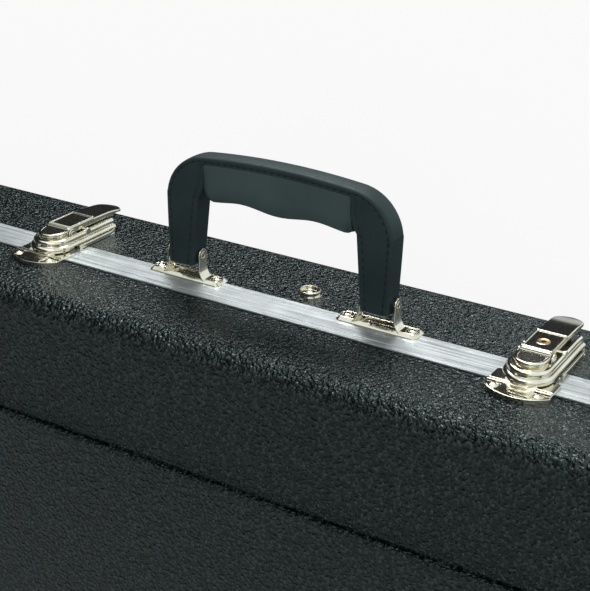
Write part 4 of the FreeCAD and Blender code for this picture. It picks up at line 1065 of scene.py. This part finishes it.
BRACKET_X = 68.0
BRACKET_HALF = (26.5, 6.8)
PLATE_A = HANDLE_A - 1.2
BRACKET_T = 2.4
BRACKET_EDGE = ((0.0, 0.02), (0.0, 0.3), (0.12, 0.52), (1.0, 1.24), (1.9, 1.98), (2.15, 2.24), (2.4, 2.36),
                (2.65, 2.3), (2.8, 2.12), (2.95, 2.1))
BRACKET_BAY = (9.8, 4.4)
BRACKET_CUP = ((4.2, 1.6), (4.2, 2.2), (4.05, 2.34), (3.9, 2.34), (3.75, 2.2), (3.6, 2.14), (0.05, 2.14))
BRACKET_RIVET_X = 21.5
EAR_X = 10.9
EAR_T = 1.3
EAR_R = 4.3
PIN_B = HANDLE_PIVOT[1]
PIN_R = 2.0
PIN_HEAD_R = 2.3
PIN_CORE_R = 1.4
EAR_FOOT = 4.7
EAR_BEND = (3.0, 8.0)


def turned_x(build, profile, a, b, count=28):
    """A piece turned about x from a profile of (radius, x) points."""
    rings = []
    for radius, x in profile:
        ring = []
        for i in range(count):
            angle = 2 * math.pi * i / count
            ring.append((x, a + radius * math.cos(angle), b + radius * math.sin(angle)))
        rings.append(ring)
    build.skin(rings)


def bracket_ring(wide, deep, corner, b):
    """One ring round the bracket's plate, or round its sunk bay between the ears."""
    outline = soft_rectangle((-wide, PLATE_A - deep), (wide, PLATE_A + deep), corner, 6)
    return [(x, a, b) for x, a in outline]


def bracket_piece(name, fitting, node_name):
    """A pressed plate with a raised edge, a sunk bay, rivet cups and two upright ears."""
    build = Build(fitting)
    half_x, half_a = BRACKET_HALF
    rings = []
    for drawn, b in BRACKET_EDGE:
        rings.append(bracket_ring(half_x - drawn, half_a - drawn, max(3.0 - drawn, 0.8), b))
    bay_x, bay_a = BRACKET_BAY
    for grow, b in ((0.5, 2.1), (0.12, 2.0), (0.0, 1.7), (-0.2, 1.0), (-0.5, 0.8)):
        rings.append(bracket_ring(bay_x + grow, bay_a + grow, 0.9, b))
    build.skin(rings)
    for x in (-BRACKET_RIVET_X, BRACKET_RIVET_X):
        turned(build, BRACKET_CUP, x, PLATE_A, 48)
    for side in (-1, 1):
        build.skin(ear_rings(side))
    build.finish("bracket_" + name, "nickel", "base", [node_name])


def ear_rings(side, steps=14):
    """An upright ear that bends outwards into the plate, as level rings from its foot to its round top."""
    reach, tall = EAR_BEND
    rings = []
    stations = [BRACKET_T - 1.2 + (PIN_B - BRACKET_T + 1.2) * (i / steps) ** 1.4 for i in range(steps + 1)]
    stations += [PIN_B + EAR_R * math.sin(math.pi / 2 * i / 9) for i in range(1, 10)]
    for b in stations:
        share = max(0.0, 1 - (b - BRACKET_T + 0.6) / tall)
        out = reach * share ** 2.4
        half = EAR_R + (EAR_FOOT - EAR_R) * share
        if b > PIN_B:
            half = math.sqrt(max(EAR_R ** 2 - (b - PIN_B) ** 2, 0.3))
        low, high = (EAR_X + out, -half), (EAR_X + out + EAR_T, half)
        rings.append([(side * x, HANDLE_A + a, b) for x, a in soft_rectangle(low, high, 0.5, 4)])
    return rings


def handle_hardware():
    rivets = Build(HANDLE)
    pins = Build(HANDLE)
    cores = Build(HANDLE)
    for name, sign in (("body_side", 1), ("neck_side", -1)):
        fitting = HANDLE.moved(sign * BRACKET_X)
        bracket_piece(name, fitting, "handle_bracket_" + name)
        for x in (-BRACKET_RIVET_X, BRACKET_RIVET_X):
            rivet_dome(rivets, sign * BRACKET_X + x, PLATE_A, 2.15, 2.4, 0.9)
        reach = EAR_X + EAR_T
        for end in (-1, 1):
            face = reach
            profile = [(PIN_R, 0.0), (PIN_R, face), (PIN_HEAD_R, face + 0.02), (PIN_HEAD_R, face + 0.12),
                       (2.15, face + 0.25), (1.85, face + 0.25), (1.6, face + 0.1), (1.45, face - 0.3),
                       (0.03, face - 0.4)]
            shape = [(radius, sign * BRACKET_X + end * x) for radius, x in profile]
            turned_x(pins, shape, HANDLE_A, PIN_B)
            core = [(0.03, face - 0.2), (PIN_CORE_R, face - 0.2), (PIN_CORE_R, face + 0.05), (0.9, face + 0.2),
                    (0.03, face + 0.22)]
            turned_x(cores, [(radius, sign * BRACKET_X + end * x) for radius, x in core], HANDLE_A, PIN_B)
    rivets.finish("handle_rivet_heads", "nickel", "base", ["handle_rivets"])
    pins.finish("handle_pin_pair", "nickel", "base", ["handle_pins"])
    cores.finish("handle_pin_cores", "lock_brass", "base")


CAP_X = -9.9
CAP_A = -29.6


def cap_piece():
    """The round cap with a flange, a rolled rim and a dimpled floor."""
    build = Build(HANDLE)
    profile = [(7.7, WALL_B - 0.1), (7.7, -0.75), (7.5, -0.4), (7.1, -0.3), (6.75, -0.45), (6.6, -0.2),
               (6.65, 0.9), (6.8, 1.4), (6.75, 1.9), (6.5, 2.25), (6.2, 2.35), (5.95, 2.25), (5.8, 2.0),
               (5.75, 0.95), (5.65, 0.85), (2.3, 0.85), (2.2, 1.2), (2.0, 1.3), (1.5, 1.3), (1.35, 1.2),
               (1.3, 0.85), (0.03, 0.85)]
    turned(build, profile, CAP_X, CAP_A, 48)
    build.finish("round_rivet_cap", "nickel", "base", ["rivet_cap"])


# The case's own outline

SHELL_LOW, SHELL_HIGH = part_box("base_shell")
CASE_LENGTH = (SHELL_HIGH.x - SHELL_LOW.x) / MM
CASE_WIDTH = (SHELL_HIGH.y - SHELL_LOW.y) / MM
CASE_MIDDLE = (SHELL_LOW + SHELL_HIGH) / 2
CASE_MIDDLE.z = JOINTS["lid_hinge"]["pos_m"][2]
HEAD_WIDTH = 300.0
TAPER_X = -200.0
SMALLEST_RADIUS = 12.0
PLAN_CORNERS = [
    (CASE_LENGTH / 2, -CASE_WIDTH / 2, 90.0, 18),
    (CASE_LENGTH / 2, CASE_WIDTH / 2, 90.0, 18),
    (-CASE_LENGTH / 2, CASE_WIDTH / 2, 60.0, 14),
    (-CASE_LENGTH / 2, CASE_WIDTH / 2 - HEAD_WIDTH, 60.0, 14),
    (TAPER_X, -CASE_WIDTH / 2, 300.0, 8),
]


class HalfFrame:
    """One half of the case: x and y from its middle, depth away from the parting plane."""

    def __init__(self, sign):
        self.sign = sign

    def point(self, x, y, depth):
        return CASE_MIDDLE + Vector((x, y, self.sign * depth)) * MM


def case_outline(inset_mm, straight_steps=1):
    """The case's plan outline moved inwards, as (x, y) points."""
    count = len(PLAN_CORNERS)
    points = [Vector(corner[:2]) for corner in PLAN_CORNERS]
    ahead = [(points[(i + 1) % count] - points[i]).normalized() for i in range(count)]
    inward = [Vector((-d.y, d.x)) for d in ahead]
    arcs = []
    for i, (x, y, radius, steps) in enumerate(PLAN_CORNERS):
        radius = max(radius - inset_mm, SMALLEST_RADIUS)
        first, last = inward[i - 1], inward[i]
        reach = (inset_mm + radius) / (1 + first.dot(last))
        centre = points[i] + (first + last) * reach
        turn = first.angle_signed(last)
        arcs.append([tuple(centre - rotated(first, turn * k / steps) * radius) for k in range(steps + 1)])
    result = []
    for i, run in enumerate(arcs):
        result.extend(run)
        start, end = Vector(run[-1]), Vector(arcs[(i + 1) % count][0])
        for k in range(1, straight_steps):
            result.append(tuple(start + (end - start) * k / straight_steps))
    return result


def rotated(vector, turn):
    """A 2D vector turned clockwise, as mathutils signs its angles."""
    c, s = math.cos(turn), math.sin(turn)
    return Vector((vector.x * c + vector.y * s, vector.y * c - vector.x * s))


def round_the_case(build, profile, looped=True, caps=False, straight_steps=1):
    """Sweeps a profile of (outwards, depth) points round the case."""
    rings = [[(x, y, depth) for x, y in case_outline(-out, straight_steps)] for out, depth in profile]
    build.skin(rings, looped=looped, caps=caps)


BASE_DEPTH = 85.0
LID_DEPTH = 68.5
PANEL_EDGE = 86.7
PANEL_RISE = 1.8
PANEL_ROLL_R = 2.8
PANEL_ROLL_OUT = 0.4
VALANCE_H = 13.0
VALANCE_OUT = 1.2
VALANCE_IN = -4.1
FLUTES = (7.9,)
FLUTE_W = 0.9
FLUTE_DEEP = 0.3


def valance_piece(half, sign, web):
    """One extrusion round the case: slotted for the moulded wall, fluted outside."""
    middle = [(-2.2, 0), (-2.2, -2.4), (-0.4, -2.4), (-0.4, 0)]
    if half == "lid":
        middle = [(-2.7, 0), (-2.7, 2.9), (0.1, 2.9), (0.1, 0)]
    profile = [(VALANCE_IN, 0)] + middle + [(VALANCE_OUT, 0)]
    for depth in FLUTES:
        profile += [(VALANCE_OUT, depth), (VALANCE_OUT - FLUTE_DEEP, depth + 0.15),
                    (VALANCE_OUT - FLUTE_DEEP, depth + FLUTE_W - 0.15), (VALANCE_OUT, depth + FLUTE_W)]
    profile += [(VALANCE_OUT, VALANCE_H), (0.1, VALANCE_H), (0.1, web), (-2.7, web), (-2.7, VALANCE_H),
                (VALANCE_IN, VALANCE_H)]
    build = Build(HalfFrame(sign))
    round_the_case(build, smooth_corners(profile, 0.35, 3))
    build.finish(half + "_valance_strip", "valance", half, [half + "_valance"], smooth=math.radians(30))


# Soft inside

LINING_OUT = 2.8
LINING_T = 4.0
LINING_TOP = 13.1


def lining_piece(half, sign, depth):
    """The plush sheet that lines one half, rolled at its upper edge."""
    build = Build(HalfFrame(sign))
    floor = depth - 2.6
    inside = LINING_OUT + LINING_T
    profile = [(60, floor), (30, floor)]
    profile += [(LINING_OUT + 10.5 - 10.5 * math.sin(t), floor - 10.5 + 10.5 * math.cos(t))
                for t in np.linspace(0, math.pi / 2, 7)]
    profile += [(LINING_OUT, LINING_TOP + 2), (LINING_OUT + 0.6, LINING_TOP + 0.6),
                (LINING_OUT + LINING_T / 2, LINING_TOP), (inside - 0.6, LINING_TOP + 0.6),
                (inside, LINING_TOP + 2), (inside + 0.3, 30)]
    low = floor - LINING_T
    profile += [(inside + 9 - 9 * math.cos(t), low - 9 + 9 * math.sin(t)) for t in np.linspace(0, math.pi / 2, 7)]
    profile += [(30, low), (60, low)]
    round_the_case(build, [(-i, d) for i, d in profile], looped=False, caps=True, straight_steps=8)
    piece = build.finish(half + "_plush_lining", "plush", half, [half + "_lining"], smooth=math.radians(60))


def evaluated_copy(source, modify):
    """A new mesh from a copy of an object's mesh after the modifiers that modify adds."""
    work = bpy.data.objects.new("work", source.data.copy())
    bpy.context.scene.collection.objects.link(work)
    modify(work)
    depsgraph = bpy.context.evaluated_depsgraph_get()
    mesh = bpy.data.meshes.new_from_object(work.evaluated_get(depsgraph))
    bpy.data.objects.remove(work)
    return mesh


def place_copy(name, mesh, slot, body, node_name):
    mesh.materials.clear()
    mesh.materials.append(MATERIALS[slot])
    piece = bpy.data.objects.new(name, mesh)
    bpy.context.scene.collection.objects.link(piece)
    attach(piece, body)
    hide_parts(node_name)
    return piece


def foam_piece(name, node_name, body, voxel_mm=5.0, steps=8, slot="plush_pad"):
    """Plush-covered foam: the CAD block with its edges rounded over and a little unevenness."""
    def modify(work):
        remesh = work.modifiers.new("remesh", "REMESH")
        remesh.mode = "VOXEL"
        remesh.voxel_size = voxel_mm * MM
        soften = work.modifiers.new("soften", "SMOOTH")
        soften.factor = 0.5
        soften.iterations = steps
        uneven = work.modifiers.new("uneven", "DISPLACE")
        texture = bpy.data.textures.new(name, "CLOUDS")
        texture.noise_scale = 0.055
        uneven.texture = texture
        uneven.texture_coords = "GLOBAL"
        uneven.strength = 1.6 * MM
        uneven.mid_level = 0.62
    mesh = evaluated_copy(NODES[node_name], modify)
    mesh.shade_smooth()
    piece = place_copy(name, mesh, slot, body, node_name)
    return piece


def bevelled_piece(name, node_name, body, slot, width_mm, segments=2):
    """A CAD piece with its sharp edges rounded."""
    source = NODES[node_name]

    def modify(work):
        cleaned = bmesh.new()
        cleaned.from_mesh(work.data)
        bmesh.ops.remove_doubles(cleaned, verts=cleaned.verts, dist=1e-7)
        bmesh.ops.dissolve_limit(cleaned, angle_limit=math.radians(1), verts=cleaned.verts, edges=cleaned.edges)
        cleaned.to_mesh(work.data)
        cleaned.free()
        edge = work.modifiers.new("edge", "BEVEL")
        edge.width = width_mm * MM
        edge.segments = segments
        edge.limit_method = "ANGLE"
        edge.angle_limit = math.radians(40)
    mesh = evaluated_copy(source, modify)
    mesh.shade_smooth()
    mesh.set_sharp_from_angle(angle=SMOOTH_ANGLE)
    return place_copy(name, mesh, slot, body, node_name)


def ribbon_tab():
    """A folded ribbon loop sewn under the front edge of the accessory box's lid."""
    low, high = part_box("accessory_box_tab")
    middle_x = (low.x + high.x) / 2
    half = (high.x - low.x) / 2
    thin = 0.45 * MM
    top, bottom = high.z - 0.4 * MM, low.z + 0.6 * MM
    back, front = high.y, low.y
    path = []
    for i in range(13):
        t = i / 12
        swell = math.sin(math.pi * t) * (back - front) * 0.5
        path.append((top + (bottom - top) * t, swell))
    verts, faces = [], []
    outline = [(z, back - thin - s * 0.35) for z, s in path] + [(z, front + thin + s * 0.1) for z, s in reversed(path)]
    ring_count = 9
    for k in range(ring_count):
        x = middle_x - half + 2 * half * k / (ring_count - 1)
        wave = 0.25 * MM * math.sin(k * 1.7)
        for z, y in outline:
            verts.append((x, y + wave * (top - z) / (top - bottom), z))
    count = len(outline)
    for k in range(ring_count - 1):
        for i in range(count):
            j = (i + 1) % count
            faces.append((k * count + i, k * count + j, (k + 1) * count + j, (k + 1) * count + i))
    faces.append(tuple(range(count)))
    faces.append(tuple(range((ring_count - 1) * count, ring_count * count)))
    add_piece("pull_ribbon", verts, faces, "ribbon", "box_lid", ["accessory_box_tab"])


def make_inside():
    lining_piece("base", -1, BASE_DEPTH)
    lining_piece("lid", 1, LID_DEPTH)
    foam_piece("body_foam", "body_pad", "base")
    foam_piece("head_foam", "head_pad", "base")
    foam_piece("neck_foam", "neck_cradle", "base", 4.0, 6)
    foam_piece("lid_cushion", "lid_pad", "lid", 4.0, 6)
    box = bevelled_piece("accessory_tray", "accessory_box", "base", "box_plush", 1.3, 3)
    lid = bevelled_piece("accessory_tray_lid", "accessory_box_lid", "box_lid", "box_plush", 1.3, 3)
    ribbon_tab()


def panel_edge(half, sign, depth, proud):
    """The rolled edge of the raised panel, beside its groove."""
    middle = -(PANEL_EDGE + PANEL_ROLL_R - PANEL_ROLL_OUT)
    low = depth + PANEL_RISE - PANEL_ROLL_R + proud
    build = Build(HalfFrame(sign))
    round_the_case(build, round_profile(middle, low, PANEL_ROLL_R, 24))
    build.finish(half + "_panel_edge", "moulded_shell", half)


def make_case():
    valance_piece("base", -1, 3.0)
    valance_piece("lid", 1, 5.5)
    panel_edge("base", -1, BASE_DEPTH, 0.0)
    panel_edge("lid", 1, LID_DEPTH, 0.3)
    arch_piece()
    grip_piece()
    stitching()
    handle_hardware()
    cap_piece()
    for number in range(1, 5):
        bevelled_piece("hinge_base_%d" % number, "hinge_base_leaf_%d" % number, "base", "nickel", 0.25)
        bevelled_piece("hinge_lid_%d" % number, "hinge_lid_leaf_%d" % number, "lid", "nickel", 0.25)


# Stage and light

FLOOR_GLOW = 0.91
EVEN_LIGHT = 0.42


def make_floor():
    """A pale floor that the camera sees nearly white, with the object's shadow kept faint."""
    mesh = bpy.data.meshes.new("floor")
    reach = 30.0
    corners = [(-reach, -reach, 0), (reach, -reach, 0), (reach, reach, 0), (-reach, reach, 0)]
    mesh.from_pydata(corners, [], [(0, 1, 2, 3)])
    material, tree, shader = new_material("pale_floor")
    grain = noise_node(tree, object_coords(tree, 3.0).outputs["Vector"], 1.0, 2.0)
    link(tree, mix_colour(tree, grain.outputs["Fac"], (0.90, 0.90, 0.90), (0.93, 0.93, 0.93)),
         shader.inputs["Base Color"])
    shader.inputs["Roughness"].default_value = 0.9
    shader.inputs["Specular IOR Level"].default_value = 0.1
    rays = node(tree, "ShaderNodeLightPath")
    white = node(tree, "ShaderNodeEmission")
    seen = node(tree, "ShaderNodeMixShader")
    link(tree, map_range(tree, rays.outputs["Is Camera Ray"], 0.0, 1.0, 0.0, FLOOR_GLOW), seen.inputs["Fac"])
    link(tree, shader.outputs["BSDF"], seen.inputs[1])
    link(tree, white.outputs["Emission"], seen.inputs[2])
    link(tree, seen.outputs["Shader"], tree.nodes["Material Output"].inputs["Surface"])
    mesh.materials.append(material)
    floor = bpy.data.objects.new("floor", mesh)
    bpy.context.scene.collection.objects.link(floor)
    floor.visible_glossy = False
    return floor


def area_light(name, place, target, size, power, colour=(1, 1, 1)):
    data = bpy.data.lights.new(name, "AREA")
    data.shape = "RECTANGLE"
    data.size, data.size_y = size
    data.energy = power
    data.color = colour
    light = bpy.data.objects.new(name, data)
    light.location = place
    light.rotation_euler = (Vector(target) - Vector(place)).to_track_quat("-Z", "Y").to_euler()
    bpy.context.scene.collection.objects.link(light)
    return light


def product(tree, *values):
    result = values[0]
    for value in values[1:]:
        made = node(tree, "ShaderNodeMath", operation="MULTIPLY")
        link(tree, result, made.inputs[0])
        link(tree, value, made.inputs[1])
        result = made.outputs["Value"]
    return result


def background(tree, strength):
    made = node(tree, "ShaderNodeBackground")
    made.inputs["Color"].default_value = (1, 1, 1, 1)
    made.inputs["Strength"].default_value = strength
    return made


def make_world():
    """White to the camera, even light to matt surfaces, and to glossy ones a dim studio
    with the pale backdrop low behind the case and a soft ceiling light."""
    world = bpy.data.worlds.new("studio")
    bpy.context.scene.world = world
    world.use_nodes = True
    tree = world.node_tree
    tree.nodes.clear()
    coords = node(tree, "ShaderNodeTexCoord")

    def along(direction):
        dot = node(tree, "ShaderNodeVectorMath", operation="DOT_PRODUCT")
        dot.inputs[1].default_value = direction
        link(tree, coords.outputs["Generated"], dot.inputs[0])
        return dot.outputs["Value"]

    height = along(photo_vector(0, 0, 1))
    right = along(photo_vector(1, 0, 0))
    far = along(photo_vector(0, -1, 0))
    backdrop = product(tree, map_range(tree, height, 0.15, 0.25, 1.0, 0.0),
                       map_range(tree, height, -0.06, 0.02, 0.0, 1.0),
                       map_range(tree, right, -0.42, -0.15, 0.0, 1.0),
                       map_range(tree, far, -0.05, 0.2, 0.0, 1.0))
    layers = [
        ((0.37, 0.41, 0.39), product(tree, map_range(tree, height, -0.25, 0.05, 1.0, 0.0),
                                     map_range(tree, far, -0.1, 0.1, 1.0, 0.25))),
        ((0.92, 0.99, 1.0), backdrop),
        ((0.92, 0.99, 1.0), product(tree, map_range(tree, right, 0.05, 0.3, 0.0, 1.0),
                                    map_range(tree, height, -0.12, 0.02, 0.0, 1.0))),
        ((0.93, 0.99, 0.98), map_range(tree, height, 0.68, 0.8, 0.0, 1.0)),
    ]
    studio = node(tree, "ShaderNodeRGB")
    studio.outputs["Color"].default_value = (0.015, 0.017, 0.018, 1)
    colour = studio.outputs["Color"]
    for layer, factor in layers:
        over = node(tree, "ShaderNodeMix", data_type="RGBA")
        link(tree, colour, over.inputs["A"])
        over.inputs["B"].default_value = (*layer, 1)
        link(tree, factor, over.inputs["Factor"])
        colour = over.outputs["Result"]
    mirrored = background(tree, 1.0)
    link(tree, colour, mirrored.inputs["Color"])
    rays = node(tree, "ShaderNodeLightPath")
    shader = background(tree, EVEN_LIGHT)
    for ray, other in (("Is Glossy Ray", mirrored), ("Is Camera Ray", background(tree, 1.0))):
        choice = node(tree, "ShaderNodeMixShader")
        link(tree, rays.outputs[ray], choice.inputs["Fac"])
        link(tree, shader.outputs[0], choice.inputs[1])
        link(tree, other.outputs[0], choice.inputs[2])
        shader = choice
    output = node(tree, "ShaderNodeOutputWorld")
    link(tree, shader.outputs["Shader"], output.inputs["Surface"])


def make_lights(floor):
    """A key light from above and behind, and a soft one over the camera."""
    middle = HANDLE.point(0, 0, 0)
    key = area_light("key", middle + photo_vector(-0.3, -0.6, 1.0), middle, (0.7, 0.4), 9)
    area_light("front", middle + photo_vector(0.1, 0.9, 1.15), middle, (1.1, 0.5), 3)
    blockers = bpy.data.collections.new("key_blockers")
    key.light_linking.blocker_collection = blockers
    for piece in bpy.context.scene.objects:
        if piece.type == "MESH" and piece != floor:
            blockers.objects.link(piece)


make_camera()
dress_nodes()
make_latches()
make_case()
make_inside()
floor = make_floor()
make_world()
make_lights(floor)
bpy.context.scene.view_settings.view_transform = "Standard"
